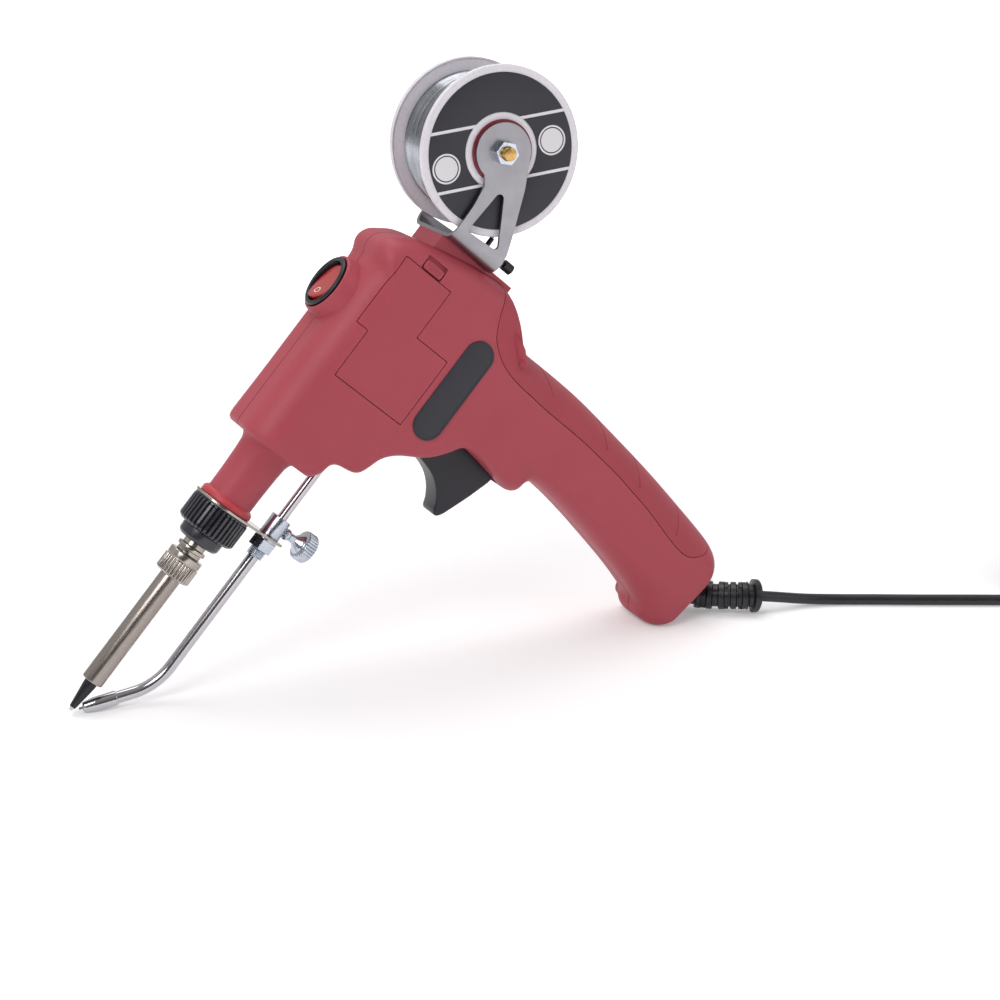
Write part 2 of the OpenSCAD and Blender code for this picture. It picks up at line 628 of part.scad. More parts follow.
lower_end = nose_x + block_len * 0.7;
guide_slide = [4, 2];
upper_end = lower_end + gap;
upper_start = drive_x - roller_r * 1.15;
module upper_guide_tube() color(steel) difference() {
    rod_x(upper_end, upper_start, upper_r, 0, -wire_drop);
    rod_x(upper_end - over, upper_start + over, guide_bore_r, 0, -wire_drop);
}
plate_ring_r = collar_r + 0.3;
plate_ear_r = 6.4;
stub_r = 3.4;
stub_bore = lower_r + run_fit;
module support_plate() color(steel) difference() {
    translate([plate_x, 0, 0]) rotate([90, 0, 90]) linear_extrude(plate_t) hull() {
        circle(r = plate_ring_r);
        translate([0, -wire_drop]) circle(r = plate_ear_r);
    }
    rod_x(plate_x - over, nose_x + over, nose_bore_r + fit);
    rod_x(plate_x - over, nose_x + over, stub_r + fit, 0, -wire_drop);
}
washer_t = 0.8;
stub_x = plate_x - washer_t - guide_nut_t - 3.4;
module clamp_block() color(steel) difference() {
    union() {
        rod_x(nose_x, nose_x + block_len, block_r, 0, -wire_drop);
        rod_x(stub_x, nose_x + fit, stub_r, 0, -wire_drop);
    }
    rod_x(stub_x - over, lower_end, stub_bore, 0, -wire_drop);
    rod_x(nose_x, nose_x + block_len + over, upper_r + fit, 0, -wire_drop);
    translate([thumb_x, 0, -wire_drop - block_r - over]) cylinder(r = thumb_thread_r + run_fit, h = block_r + over);
}
thumb_x = nose_x + block_len * 0.5;
thumb_thread_r = 1.5;
thumb_neck = 9.2;
module thumb_screw() color(steel) translate([thumb_x, 0, -wire_drop]) mirror([0, 0, 1]) {
    translate([0, 0, lower_r + fit]) cylinder(r = thumb_thread_r, h = thumb_neck);
    translate([0, 0, block_r + gap * 2]) cylinder(r = thumb_thread_r * 1.5, h = thumb_t * 0.35);
    translate([0, 0, thumb_neck - fit]) cylinder(r1 = thumb_thread_r * 1.5, r2 = thumb_r * 0.72, h = thumb_t * 0.8);
    translate([0, 0, thumb_neck + thumb_t * 0.7]) knurled(thumb_r, thumb_t, 28, 0.35);
}
// A straight knurled cylinder, its flutes cut as a star-shaped outline
module knurled(r, h, count, depth) linear_extrude(h) polygon([for (i = [0:count - 1], j = [0, 1])
    let(a = 360 * (i + j * 0.5) / count, q = j == 0 ? r : r - depth) q * [cos(a), sin(a)]]);
module lock_washer() color(steel) difference() {
    rod_x(plate_x - washer_t, plate_x, guide_nut_af * 0.5, 0, -wire_drop);
    rod_x(plate_x - washer_t - over, plate_x + over, stub_r + fit, 0, -wire_drop);
}
module guide_nut() color(steel) difference() {
    along_x(plate_x - washer_t - guide_nut_t, 0, -wire_drop) cylinder(r = guide_nut_af / sqrt(3), h = guide_nut_t, $fn = 6);
    rod_x(stub_x, plate_x, stub_r + run_fit, 0, -wire_drop);
}

// Lower guide: straight down beside the barrel, bent towards the tip, ended by the nozzle
nozzle_dir = [-cos(guide_bend), sin(guide_bend)];
nozzle_run = (wire_drop + nozzle_end[1] - guide_bend_r * (1 - cos(guide_bend))) / sin(guide_bend);
bend_end = nozzle_end - nozzle_run * nozzle_dir;
bend_start_x = bend_end[0] + guide_bend_r * sin(guide_bend);
guide_bend_steps = 8;
guide_sides = 24;
guide_mouth = nozzle_end - nozzle_dir * nozzle_cone_len * 0.5;
guide_tail = lower_end - guide_slide[1] - gap;
function guide_route(reach) = concat([[guide_tail + reach, 0, -wire_drop]],
    [for (s = [0:guide_bend_steps]) let(a = guide_bend * s / guide_bend_steps)
        [bend_start_x - guide_bend_r * sin(a), 0, -wire_drop + guide_bend_r * (1 - cos(a))]],
    [[guide_mouth[0] + nozzle_dir[0] * reach, 0, guide_mouth[1] + nozzle_dir[1] * reach]]);
module lower_guide_tube() color(steel) difference() {
    tube(guide_route(0), lower_r, guide_sides, [0, 1, 0]);
    tube(guide_route(over), guide_bore_r, guide_sides, [0, 1, 0]);
}
module nozzle() color(steel) translate([nozzle_end[0], 0, nozzle_end[1]]) rotate([0, 90 + guide_bend, 0]) difference() {
    union() {
        cylinder(r1 = nozzle_mouth_r, r2 = nozzle_r, h = nozzle_cone_len);
        translate([0, 0, nozzle_cone_len]) cylinder(r = nozzle_r, h = nozzle_len - nozzle_cone_len);
    }
    translate([0, 0, -over]) cylinder(r = guide_bore_r, h = nozzle_len + 2 * over);
    translate([0, 0, nozzle_cone_len * 0.5 - fit]) cylinder(r = lower_r + fit, h = nozzle_len + over);
}
wire_end = nozzle_end + nozzle_dir * wire_d * 1.5;
wire_turn = bend_end;
spool_axis = [base_x + spool_lift, spool_rise];
wire_bend_steps = 6;
wire_route = [[spool_axis[0], 0, spool_axis[1] - winding_r - wire_d], [inlet_x + bar_rise * 1.6, 0, -wire_drop],
    [frame_x[1], 0, -wire_drop], [drive_x, 0, -wire_drop], [lower_end, 0, -wire_drop]];
end_route = concat([[lower_end - guide_slide[1] - gap, 0, -wire_drop]],
    [for (s = [0:wire_bend_steps]) let(a = guide_bend * s / wire_bend_steps)
        [bend_start_x - guide_bend_r * sin(a), 0, -wire_drop + guide_bend_r * (1 - cos(a))]],
    [[wire_end[0], 0, wire_end[1]]]);
module solder_wire() color([0.7, 0.71, 0.73]) tube(wire_route, wire_d / 2, 6, [0, 1, 0]);
module solder_end() color([0.7, 0.71, 0.73]) tube(end_route, wire_d / 2, 6, [0, 1, 0]);

collar_groove = 0.7;
module collar() color(black) difference() {
    along_x(collar_x, 0, 0) {
        knurled(collar_r, collar_len - rim_t * 0.5, collar_ribs, collar_groove);
        translate([0, 0, collar_len - rim_t * 0.5 - fit]) cylinder(r = collar_r - collar_groove * 0.5, h = rim_t * 0.5 + fit);
    }
    rod_x(collar_x - over, collar_x + collar_len * 0.3, boss_r - 0.4);
    rod_x(collar_x + collar_len * 0.3 - over, plate_x + over, boss_r + 1.2);
}
boss_stem_r = nose_bore_r - 0.4;
module heater_boss() color(black) difference() {
    union() {
        cone_x(boss_x, boss_x + boss_len * 0.3, boss_r - 0.8, boss_r);
        rod_x(boss_x + boss_len * 0.3, collar_x, boss_r);
        rod_x(collar_x - fit, collar_x + collar_len * 0.3 + fit, boss_r - 0.6);
        rod_x(collar_x + collar_len * 0.3 + fit, plate_x, boss_r + 1);
        rod_x(plate_x - fit, nose_x + nose_len * 0.5, boss_stem_r);
    }
    rod_x(boss_x - over, nose_x + nose_len, heater_r + 1.2);
}
module barrel_neck() color(steel) difference() {
    union() {
        rod_x(neck_x, boss_x, neck_r);
        rod_x(neck_x + neck_len * 0.35, neck_x + neck_len * 0.6, neck_r + 0.9);
        rod_x(neck_x - nut_len * 0.4, neck_x + fit, sleeve_r);
    }
    rod_x(nut_x, boss_x + over, heater_r + 1.2);
}
module barrel_nut() color(steel) difference() {
    along_x(nut_x, 0, 0) {
        knurled(nut_r, nut_len * 0.86, nut_knurls, 0.5);
        translate([0, 0, nut_len * 0.86 - fit]) cylinder(r = nut_r - 0.2, h = nut_len * 0.14 + fit);
    }
    rod_x(nut_x - over, nut_x + nut_len + over, sleeve_r + fit);
}
module barrel_sleeve() color([0.56, 0.53, 0.5]) difference() {
    rod_x(sleeve_x, nut_x + nut_len * 0.55, sleeve_r);
    rod_x(sleeve_x + sleeve_wall, nut_x + nut_len, sleeve_r - sleeve_wall);
    rod_x(sleeve_x - over, sleeve_x + over, cone_r + fit);
}
tip_root_r = sleeve_r - sleeve_wall - fit;
module soldering_tip() color(black) difference() {
    union() {
        cone_x(0, nib_len, nib_r * 0.35, nib_r);
        cone_x(nib_len - fit, sleeve_x, nib_r, cone_r);
        rod_x(sleeve_x - fit, sleeve_x + sleeve_wall + fit, cone_r);
        rod_x(sleeve_x + sleeve_wall + fit, sleeve_x + sleeve_len * 0.4, tip_root_r);
    }
    rod_x(sleeve_x + nib_len * 2, nut_x, heater_r + fit);
}
module heater_element() color([0.92, 0.9, 0.86]) rod_x(sleeve_x + nib_len * 2.2, nose_x + nose_len * 0.55, heater_r);

// Insulated wires inside the casing
lead_r = 0.9;
lead_y = 3;
module lead(points) tube(points, lead_r, 6, [0.3, 1, 0.2]);
lead_side = frame_y + frame_t + lead_r + 0.8;
heater_back = nose_x + nose_len * 0.55;
terminal_top = terminal[1] + terminal_size[2] / 2 + fit;
module inner_wires() color([0.85, 0.83, 0.78]) {
    for (s = [0, 1]) lead([[heater_back + fit, (s - 0.5) * lead_y * 0.8, 0], [nose_end + wall * 2, (s - 0.5) * lead_y, 0],
        [along(0.2), s * lead_y, rise(-0.02)], [along(0.3), lead_side + s, rise(-0.05)],
        [along(0.45), lead_side + s, rise(-0.02 - s * 0.07)],
        [along(0.75), lead_side + s, rise(-0.3 - s * 0.07)],
        [terminal[0] + lead_y * (2.6 - s), lead_side + s, rise(-0.9)],
        [terminal[0] + lead_y * 0.8, lead_y * (1 + s), terminal_top]]);
    for (s = [0, 1]) lead([[switch_x + (s * 2 - 1) * lead_y, 0, blade_z - fit],
        [switch_x + lead_y * (s * 2 - 1), -lead_y, blade_z - lead_y * 1.5],
        [frame_x[1] + lead_y * (1 + s), -lead_y * 1.5, frame_z[1] + lead_y],
        [frame_x[1] + lead_y * (0.8 + s), -lead_y * 1.5, rise(-0.35)], [along(0.75 + s * 0.05), -lead_y, rise(-0.7)],
        [terminal[0] - lead_y * (s - 0.8), -lead_y * (1 + s), terminal_top]]);
}
inner_cord_points = [[plug_hole, 0, clamp_z - relief_gap + fit], [plug_hole, 0, clamp_z + clamp_h + cord_d],
    [mix(plug_hole, terminal[0], 0.35), 0, mix(clamp_z + clamp_h, terminal[1], 0.5)],
    [terminal[0], 0, terminal[1] - terminal_size[2] / 2 - cord_d], [terminal[0], 0, terminal[1] - terminal_size[2] / 2 - fit]];
module inner_cord() color(black) tube(inner_cord_points, cord_d / 2, 8, [0, 1, 0]);

bezel_t = 1.3;
housing_depth = 13;
blade_len = 6;
blade_z = boss_top - housing_depth - blade_len;
rocker_gap = 0.25;
module switch_housing() color(black) switch_axis() {
    difference() {
        union() {
            translate([0, 0, boss_top]) cylinder(r1 = bezel_r, r2 = bezel_r - 0.7, h = bezel_t);
            translate([0, 0, boss_top - housing_depth]) cylinder(r = housing_r, h = housing_depth + fit);
        }
        translate([0, 0, boss_top - housing_depth * 0.7]) cylinder(r = rocker_r + rocker_gap, h = housing_depth);
        rod_y([0, boss_top - 1], -housing_r + 0.4, housing_r - 0.4, 0.7 + run_fit);
    }
    for (s = [-1, 1]) translate([s * lead_y - 0.4, -2.4, blade_z]) cube([0.8, 4.8, blade_len + fit]);
}
module switch_rocker() color([0.78, 0.16, 0.12]) switch_axis() {
    translate([0, 0, boss_top - 1]) rotate([0, rocker_tilt, 0]) translate([0, 0, 1 - boss_top]) difference() {
        intersection() {
            translate([0, 0, boss_top - 5]) cylinder(r = rocker_r - 0.35, h = 8);
            rod_y([0, boss_top + 21.2], -rocker_r, rocker_r, 25);
            rod_y([0, boss_top - 5], -rocker_r, rocker_r, 10);
        }
        rod_y([0, boss_top + 21.4], -rocker_r, rocker_r, 19.6);
    }
    rod_y([0, boss_top - 1], -housing_r + 0.6, housing_r - 0.6, 0.7);
}

// Bracket: a base, two bends and two arms, each a round head on two legs
bracket_half = spool_w / 2 + bracket_room;
bend_out = 5;
arm_top = spool_axis - [base_x, 0];
arm_share = [[0.19, 0.02], [0.3, 0], [0.47, -0.02], [0.62, 0.1]];
module arm_outline() difference() {
    union() {
        translate(spool_axis) circle(r = arm_head_r);
        polygon([[base_x + bend_out, 0], [base_x + spool_lift * 0.4, 0.4], [base_x + spool_lift * 0.62, 1.6],
            [base_x + spool_lift * 0.74, spool_rise + 2], spool_axis, spool_axis + [arm_head_r * 0.5, -arm_head_r * 0.86],
            [base_x + spool_lift * 0.86, -bracket_depth * 0.53], [base_x + spool_lift * 0.38, -bracket_depth * 0.88],
            [base_x + spool_lift * 0.24, -bracket_depth * 0.97], [base_x + bend_out, -bracket_depth]]);
    }
    hull() {
        translate([base_x + bend_out + 2.6, -bracket_depth * 0.22]) circle(r = 1.4);
        translate([base_x + bend_out + 3.6, -bracket_depth * 0.7]) circle(r = 1.4);
        translate([base_x + spool_lift * 0.62, -bracket_depth * 0.27]) circle(r = 1.7);
    }
    translate(spool_axis) circle(r = bolt_r + fit);
}
bracket_out = bracket_half + steel_t;
module spool_bracket() color(steel) difference() {
    union() {
        for (s = [-1, 1]) side_plate(s > 0 ? bracket_half : -bracket_out, s > 0 ? bracket_out : -bracket_half) arm_outline();
        upright(-bracket_depth, 0) {
            translate([base_x, bend_out - bracket_out]) square([steel_t, 2 * (bracket_out - bend_out)]);
            for (s = [-1, 1]) translate([base_x + bend_out, s * (bracket_out - bend_out)]) intersection() {
                difference() {
                    circle(r = bend_out);
                    circle(r = bend_out - steel_t);
                }
                translate([-bend_out, s > 0 ? 0 : -bend_out]) square([bend_out, bend_out]);
            }
        }
    }
    rod_x(base_x - over, base_x + steel_t + over, wire_d + fit * 3, 0, -wire_drop);
    for (p = bracket_screw_places) rod_x(base_x - over, base_x + steel_t + over, bracket_screw_r + fit, p[0], p[1]);
}
bracket_screw_r = 1.4;
bracket_screw_places = [for (s = [-1, 1]) [s * 8, -bracket_depth * 0.35]];
pad_half = 11;
pad_first = 22;
pad_last = 27;
module bracket_pad() color(red) difference() {
    side_plate(-pad_half, pad_half) polygon(concat([for (k = [pad_first:pad_last]) outer_edge(k) + [fit, 0]],
        [[base_x + steel_t, outer_edge(pad_last)[1]], [base_x + steel_t, -bracket_depth - gap],
        [base_x, -bracket_depth - gap], [base_x, outer_edge(pad_first)[1]]]));
    rod_x(along(0.9), base_x + over, wire_d + fit * 3, 0, -wire_drop);
    for (p = bracket_screw_places) rod_x(along(0.9), base_x + over, bracket_screw_r + fit, p[0], p[1]);
}
module bracket_screws() color(black) for (p = bracket_screw_places) {
    rod_x(base_x - 1.8, base_x + steel_t + fit, bracket_screw_r, p[0], p[1]);
    rod_x(base_x + steel_t, base_x + steel_t + 1.5, bracket_screw_r * 2, p[0], p[1]);
}

bolt_end = bracket_half + steel_t + 6;
nut_t = 3.6;
nut_af = 8;
hub_r = 12.5;
core_r = 9;
bush_r = 8;
module spool_bolt() color([0.75, 0.6, 0.35]) union() {
    rod_y(spool_axis, -bolt_end, bracket_half + steel_t + fit, bolt_r);
    along_y(spool_axis[0], bracket_half + steel_t, spool_axis[1]) cylinder(r = nut_af / sqrt(3), h = nut_t, $fn = 6);
}
module spool_nut() color(steel) difference() {
    along_y(spool_axis[0], -bracket_half - steel_t - nut_t, spool_axis[1]) cylinder(r = nut_af / sqrt(3), h = nut_t, $fn = 6);
    rod_y(spool_axis, -bolt_end, 0, bolt_r + run_fit);
}
module spool_bushes() color([0.4, 0.08, 0.12]) for (s = [-1, 1]) difference() {
    union() {
        post_y(s, spool_w / 2 - 4, spool_w / 2 - 1, bush_r + 2.2 - run_fit);
        post_y(s, spool_w / 2 - 1 - fit, bracket_half - fit, bush_r);
    }
    rod_y(spool_axis, -spool_w, spool_w, bolt_r + run_fit);
}
module post_y(s, y0, y1, r) rod_y(spool_axis, s > 0 ? y0 : -y1, s > 0 ? y1 : -y0, r);
module spool() color([0.93, 0.91, 0.94]) difference() {
    union() {
        for (s = [-1, 1]) {
            rod_y(spool_axis, s > 0 ? spool_w / 2 - flange_t : -spool_w / 2, s > 0 ? spool_w / 2 : -spool_w / 2 + flange_t, flange_r);
            rod_y(spool_axis, s > 0 ? spool_w / 2 - fit : -spool_w / 2 - 0.7, s > 0 ? spool_w / 2 + 0.7 : -spool_w / 2 + fit, hub_r);
        }
        rod_y(spool_axis, -spool_w / 2 + fit, spool_w / 2 - fit, core_r + 2);
    }
    rod_y(spool_axis, -spool_w, spool_w, bush_r + 2.2);
}
winding_half = spool_w / 2 - flange_t - fit * 3;
core_top = winding_r - wire_d - 5 * fit;
module solder_core() color([0.6, 0.61, 0.63]) difference() {
    rod_y(spool_axis, -winding_half, winding_half, core_top);
    rod_y(spool_axis, -spool_w, spool_w, core_r + 2 + fit);
}
winding_rings = 24;
strand_r = wire_d * 0.465;
winding_pitch = (2 * winding_half - 2 * strand_r) / winding_turns;
winding_path = [for (i = [0:winding_rings * winding_turns]) let(a = 360 * i / winding_rings)
    [spool_axis[0] + (winding_r - strand_r) * cos(a), -winding_half + strand_r + winding_pitch * i / winding_rings,
        spool_axis[1] + (winding_r - strand_r) * sin(a)]];
module solder_winding() color([0.66, 0.67, 0.69]) tube(winding_path, strand_r, 6, [0, 1, 0]);
echo(winding_least_gap = winding_pitch - 2 * strand_r);
spool_label_r = 28.6;
spool_label_t = 0.25;
module spool_label() color(black) difference() {
    rod_y(spool_axis, -spool_w / 2 - spool_label_t, -spool_w / 2, spool_label_r);
    rod_y(spool_axis, -spool_w, 0, hub_r + fit);
}

module terminal_block() color([0.9, 0.9, 0.86]) difference() {
    translate([terminal[0], 0, terminal[1]] - terminal_size / 2) cube(terminal_size);
    for (s = [-1, 1]) translate([terminal[0] - terminal_size[0], s * terminal_size[1] / 4, terminal[1]])
        rotate([0, 90, 0]) cylinder(r = 1.6, h = terminal_size[0]);
}
module cord_clamp() color(black) difference() {
    box([plug_hole - cord_d, -clamp_w / 2, clamp_z], [plug_hole + cord_d, clamp_w / 2, clamp_z + clamp_h]);
    translate([plug_hole, 0, clamp_z - over]) cylinder(r = cord_d / 2 + fit, h = clamp_h + 2 * over);
    for (s = [-1, 1]) rod_x(plug_hole, plug_hole + cord_d + over, 1.3, s * clamp_w * 0.34, clamp_z + clamp_h / 2);
}

// Strain relief: straight through the handle's foot, then a bend to the cord's first point
relief_start = stood([plug_hole, 0, rise(-1.985)]);
relief_dir = [sin(lean), 0, -cos(lean)];
relief_inner = stood([plug_hole, 0, clamp_z - relief_gap]);
relief_flange_t = 2.2;
cord_r = cord_d / 2;
// Route of the free cord along the ground, in the standing frame
cord_points = [[151.8, -14.2, 7.2], [157.3, -14.9, 6.3], [163.3, -15.5, 5.2], [169.3, -16.2, 4.1], [175.3, -17.2, 3.2],
    [182.3, -19, 2.6], [190.3, -22, 2.3], [199.3, -26.1, 2.3], [209.3, -30.8, 2.3], [220.3, -36, 2.3],
    [232.3, -41.5, 2.3], [244.3, -47, 2.3], [256.3, -52.5, 2.3], [266.3, -57.1, 2.5], [277.3, -62.2, 2.9],
    [283.3, -65, 3.2]];
cord_start_dir = unit(cord_points[1] - cord_points[0]);
function bezier(a, b, c, d, t) = a * pow(1 - t, 3) + 3 * b * t * pow(1 - t, 2) + 3 * c * t * t * (1 - t) + d * pow(t, 3);
relief_lead = 8.5;
function relief_at(t) = bezier(relief_start, relief_start + relief_lead * relief_dir,
    cord_points[0] - relief_lead * cord_start_dir, cord_points[0], t);
rib_share = [0, 0.4, 0.5, 0.9];
relief_places = concat([for (i = [0:relief_ribs - 1], q = rib_share) 0.06 + 0.86 * (i + q) / relief_ribs], [0.93, 1]);
relief_sizes = concat([for (i = [0:relief_ribs - 1], q = [0:3]) q < 2 ? relief_r - 0.12 * i : relief_neck_r - 0.14 * i],
    [relief_flange_r, relief_flange_r]);
module strain_relief() color(black) tube(concat([relief_inner], [for (t = concat([0], relief_places)) relief_at(t)]),
    concat([relief_neck_r, relief_neck_r], relief_sizes), 10, [0, 1, 0]);

// Coil of the unseen length: four layers that spiral in and out, each climb over half a turn
coil_entry = 244.8;
coil_leave = 270;
coil_span = (coil_turns + (coil_leave - coil_entry) / 360) / 4;
coil_centre = [303, -40.2];
coil_pitch = cord_d + 0.5;
coil_layer = cord_d + 0.46;
coil_floor = cord_r + 1.1;
coil_rings = 24;
coil_outer = coil_r + coil_pitch * coil_span;
function ease(s) = let(c = min(1, max(0, s))) c * c * (3 - 2 * c);
function coil_radius(t) = let(k = floor(min(t, 4 * coil_span - 0.001) / coil_span), u = t - k * coil_span)
    k % 2 == 0 ? coil_outer - coil_pitch * u : coil_r + coil_pitch * u;
function coil_height(t) = coil_floor + coil_layer * (ease((t - coil_span) * 2 + 0.5)
    + ease((t - 2 * coil_span) * 2 + 0.5) + ease((t - 3 * coil_span) * 2 + 0.5));
function coil_point(t) = [coil_centre[0] + coil_radius(t) * cos(coil_entry + 360 * t),
    coil_centre[1] + coil_radius(t) * sin(coil_entry + 360 * t), coil_height(t)];
coil_count = round(coil_rings * 4 * coil_span);
coil_path = [for (i = [0:coil_count]) coil_point(4 * coil_span * i / coil_count)];
// Least gap of a wound tube to itself, measured between points at least half a turn apart
function near_gap(p, r, back, ahead) = min([for (i = [0:len(p) - 1], j = [i + back:min(len(p) - 1, i + ahead)])
    norm(p[i] - p[j])]) - 2 * r;
echo(coil_least_gap = near_gap(coil_path, cord_r, coil_rings / 2, len(coil_path)));
echo(winding_least_gap = near_gap(winding_path, strand_r, winding_rings / 2, winding_rings * 3 / 2));
function run_length(p) = [for (i = [1:len(p) - 1]) norm(p[i] - p[i - 1])] * [for (i = [1:len(p) - 1]) 1];
tail_route = [[308.5, 18.1], [313.5, 17.1], [318.5, 15.1], [323.5, 12.6], [328.5, 10.2], [333.5, 8.3], [338, 7.2],
    [343, 6.85]];
tail_points = [for (p = tail_route) [p[0], coil_path[coil_count][1], p[1]]];
function short_of(a, b) = a + gap * unit(b - a);
free_path = concat(cord_points, [short_of(coil_path[0], cord_points[len(cord_points) - 1])]);
tail_path = concat([short_of(coil_path[coil_count], tail_points[0])], tail_points);
echo(cord_length = run_length(free_path) + run_length(coil_path) + run_length(tail_path));
module mains_cord() color(black) {
    tube(free_path, cord_r, 8, [0, 0, 1]);
    tube(tail_path, cord_r, 8, [0, 0, 1]);
}
module cord_coil() color(black) tube(coil_path, cord_r, 6, [0, 0, 1]);
tie_t = 0.8;
tie_w = 7;
tie_room = 0.25;
module cord_tie() color(black) translate([coil_centre[0], coil_centre[1], 0]) difference() {
    box([-coil_outer - cord_r - tie_room - tie_t, -tie_w / 2, 0],
        [-coil_r + cord_r + tie_room + tie_t, tie_w / 2, coil_floor + 3 * coil_layer + cord_r + tie_room + tie_t]);
    box([-coil_outer - cord_r - tie_room, -tie_w, tie_t],
        [-coil_r + cord_r + tie_room, tie_w, coil_floor + 3 * coil_layer + cord_r + tie_room]);
}
plug_back = tail_points[7];
plug_neck_r = 5;
plug_shares = [[0.14, 0], [0.25, 0.16], [0.5, 0.6], [0.5, 1], [-0.5, 1], [-0.5, 0.6], [-0.25, 0.16], [-0.14, 0]];
module mains_plug() color(black) translate([plug_back[0], plug_back[1], 0]) linear_extrude(plug_t)
    polygon([for (p = plug_shares) [p[1] * plug_len, p[0] * plug_w]]);
module plug_pins() color(steel) for (s = [-1, 1])
    translate([plug_back[0] + plug_len, plug_back[1] + s * plug_pitch / 2, plug_t / 2]) rotate([0, 90, 0]) {
        cylinder(r = plug_pin_r, h = plug_pin_len - plug_pin_r);
        translate([0, 0, plug_pin_len - plug_pin_r]) cylinder(r1 = plug_pin_r, r2 = plug_pin_r * 0.5, h = plug_pin_r);
    }

stand() left_shell();
stand() right_shell();
stand() nose_tube();
stand() feed_cover();
stand() cover_latch();
stand() grip_cushion();
stand() label_plate();
stand() case_screws();
stand() trigger();
stand() trigger_pin();
stand() return_springs();
stand() pawl();
stand() mechanism_frame();
stand() feed_axle();
stand() feed_roller();
stand() ratchet_wheel();
stand() idler_arm();
stand() idler_pivot();
stand() idler_axle();
stand() idler_roller();
stand() wire_inlet_guide();
stand() upper_guide_tube();
stand() support_plate();
stand() clamp_block();
stand() thumb_screw();
stand() lock_washer();
stand() guide_nut();
stand() lower_guide_tube();
stand() nozzle();
stand() solder_wire();
stand() solder_end();
stand() collar();
stand() heater_boss();
stand() barrel_neck();
stand() barrel_nut();
stand() barrel_sleeve();
stand() soldering_tip();
stand() heater_element();
stand() inner_wires();
stand() switch_housing();
stand() switch_rocker();
stand() spool_bracket();
stand() bracket_pad();
stand() bracket_screws();
stand() spool_bolt();
stand() spool_nut();
stand() spool_bushes();
stand() spool();
stand() solder_core();
stand() solder_winding();
stand() spool_label();
stand() terminal_block();
stand() cord_clamp();
stand() inner_cord();
strain_relief();
mains_cord();
cord_coil();
cord_tie();
mains_plug();
plug_pins();
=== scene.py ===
"""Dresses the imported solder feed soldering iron: its casing, barrel, wire feed, spool and cord, and their finishes.

Lengths are millimetres in the gun's own frame (x along the barrel from the tip, y across, z up from the barrel's
axis towards the switch) until Pose.stand turns them into the standing row frame in metres.
"""

import json
import logging
import math
from contextlib import contextmanager
from dataclasses import dataclass, field
from enum import Enum
from typing import Callable, Iterator, Optional, Sequence, Union

import bmesh
import bpy
import numpy as np
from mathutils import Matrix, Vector

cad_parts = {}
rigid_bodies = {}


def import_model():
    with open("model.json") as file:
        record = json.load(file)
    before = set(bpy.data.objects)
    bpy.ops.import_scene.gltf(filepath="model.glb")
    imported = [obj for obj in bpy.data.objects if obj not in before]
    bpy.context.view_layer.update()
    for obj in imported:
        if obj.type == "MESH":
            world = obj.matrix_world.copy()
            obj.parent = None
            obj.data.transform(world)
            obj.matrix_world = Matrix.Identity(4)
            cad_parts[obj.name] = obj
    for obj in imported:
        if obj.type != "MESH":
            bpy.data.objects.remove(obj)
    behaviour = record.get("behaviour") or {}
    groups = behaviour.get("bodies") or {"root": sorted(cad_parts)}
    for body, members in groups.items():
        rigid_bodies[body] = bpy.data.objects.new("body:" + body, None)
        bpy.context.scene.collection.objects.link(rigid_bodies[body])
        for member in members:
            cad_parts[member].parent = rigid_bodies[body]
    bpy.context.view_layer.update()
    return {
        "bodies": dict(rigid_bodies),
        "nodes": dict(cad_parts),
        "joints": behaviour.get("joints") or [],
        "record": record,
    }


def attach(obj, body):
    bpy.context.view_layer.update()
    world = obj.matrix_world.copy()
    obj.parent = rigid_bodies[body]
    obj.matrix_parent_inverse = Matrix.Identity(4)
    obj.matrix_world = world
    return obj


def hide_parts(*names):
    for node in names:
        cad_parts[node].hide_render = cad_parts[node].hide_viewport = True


LOG = logging.getLogger("solder_feed_iron")
MM = 0.001
TINY = 1e-9
TURN = 2 * math.pi
QUARTER = math.pi / 2
X_AXIS, Y_AXIS, Z_AXIS = (1, 0, 0), (0, 1, 0), (0, 0, 1)
SHARP_OVER = 35.0
CASING_SHARP_OVER = 38.0
Array = np.ndarray
Line = Union[Array, Sequence[Sequence[float]]]
Ripple = Callable[[Array, Array, Array], Array]
Where = Callable[[Array, Array], Array]
Object = bpy.types.Object


# ---------------------------------------------------------------- shapes

@dataclass(frozen=True)
class Pose:
    """How the gun stands: leaned back, set on the nozzle, centred over its footprint."""

    lean: float = math.radians(48.9)
    shift: float = -133.651
    lift: float = 1.97992

    def stand(self, points: Array) -> Array:
        """Turns gun-frame millimetres (..., 3) into row-frame metres: x and z turn by the lean, then move."""
        p = np.asarray(points, float)
        c, s = math.cos(self.lean), math.sin(self.lean)
        x, z = p[..., 0] * c - p[..., 2] * s + self.shift, p[..., 0] * s + p[..., 2] * c + self.lift
        return np.stack([x, p[..., 1], z], -1) * MM


POSE = Pose()


@dataclass
class Skin:
    """A surface: points (n, 3) in millimetres, quads (m, 4), and end faces of any size."""

    points: Array
    quads: Array
    ends: list[list[int]] = field(default_factory=list)

    def volume(self) -> float:
        """Six times the signed volume: the sum of each triangle's corner product."""
        tris = [self.quads[:, [0, 1, 2]], self.quads[:, [0, 2, 3]]]
        for end in self.ends:
            e = np.asarray(end)
            tris.append(np.stack([np.full(len(e) - 2, e[0]), e[1:-1], e[2:]], -1))
        a, b, c = (self.points[np.concatenate(tris)[:, k]] for k in range(3))
        return float(np.einsum("ij,ij->i", a, np.cross(b, c)).sum())

    def outward(self) -> "Skin":
        """The same closed surface with its faces turned outwards."""
        if self.volume() < 0:
            return Skin(self.points, self.quads[:, ::-1], [e[::-1] for e in self.ends])
        return self


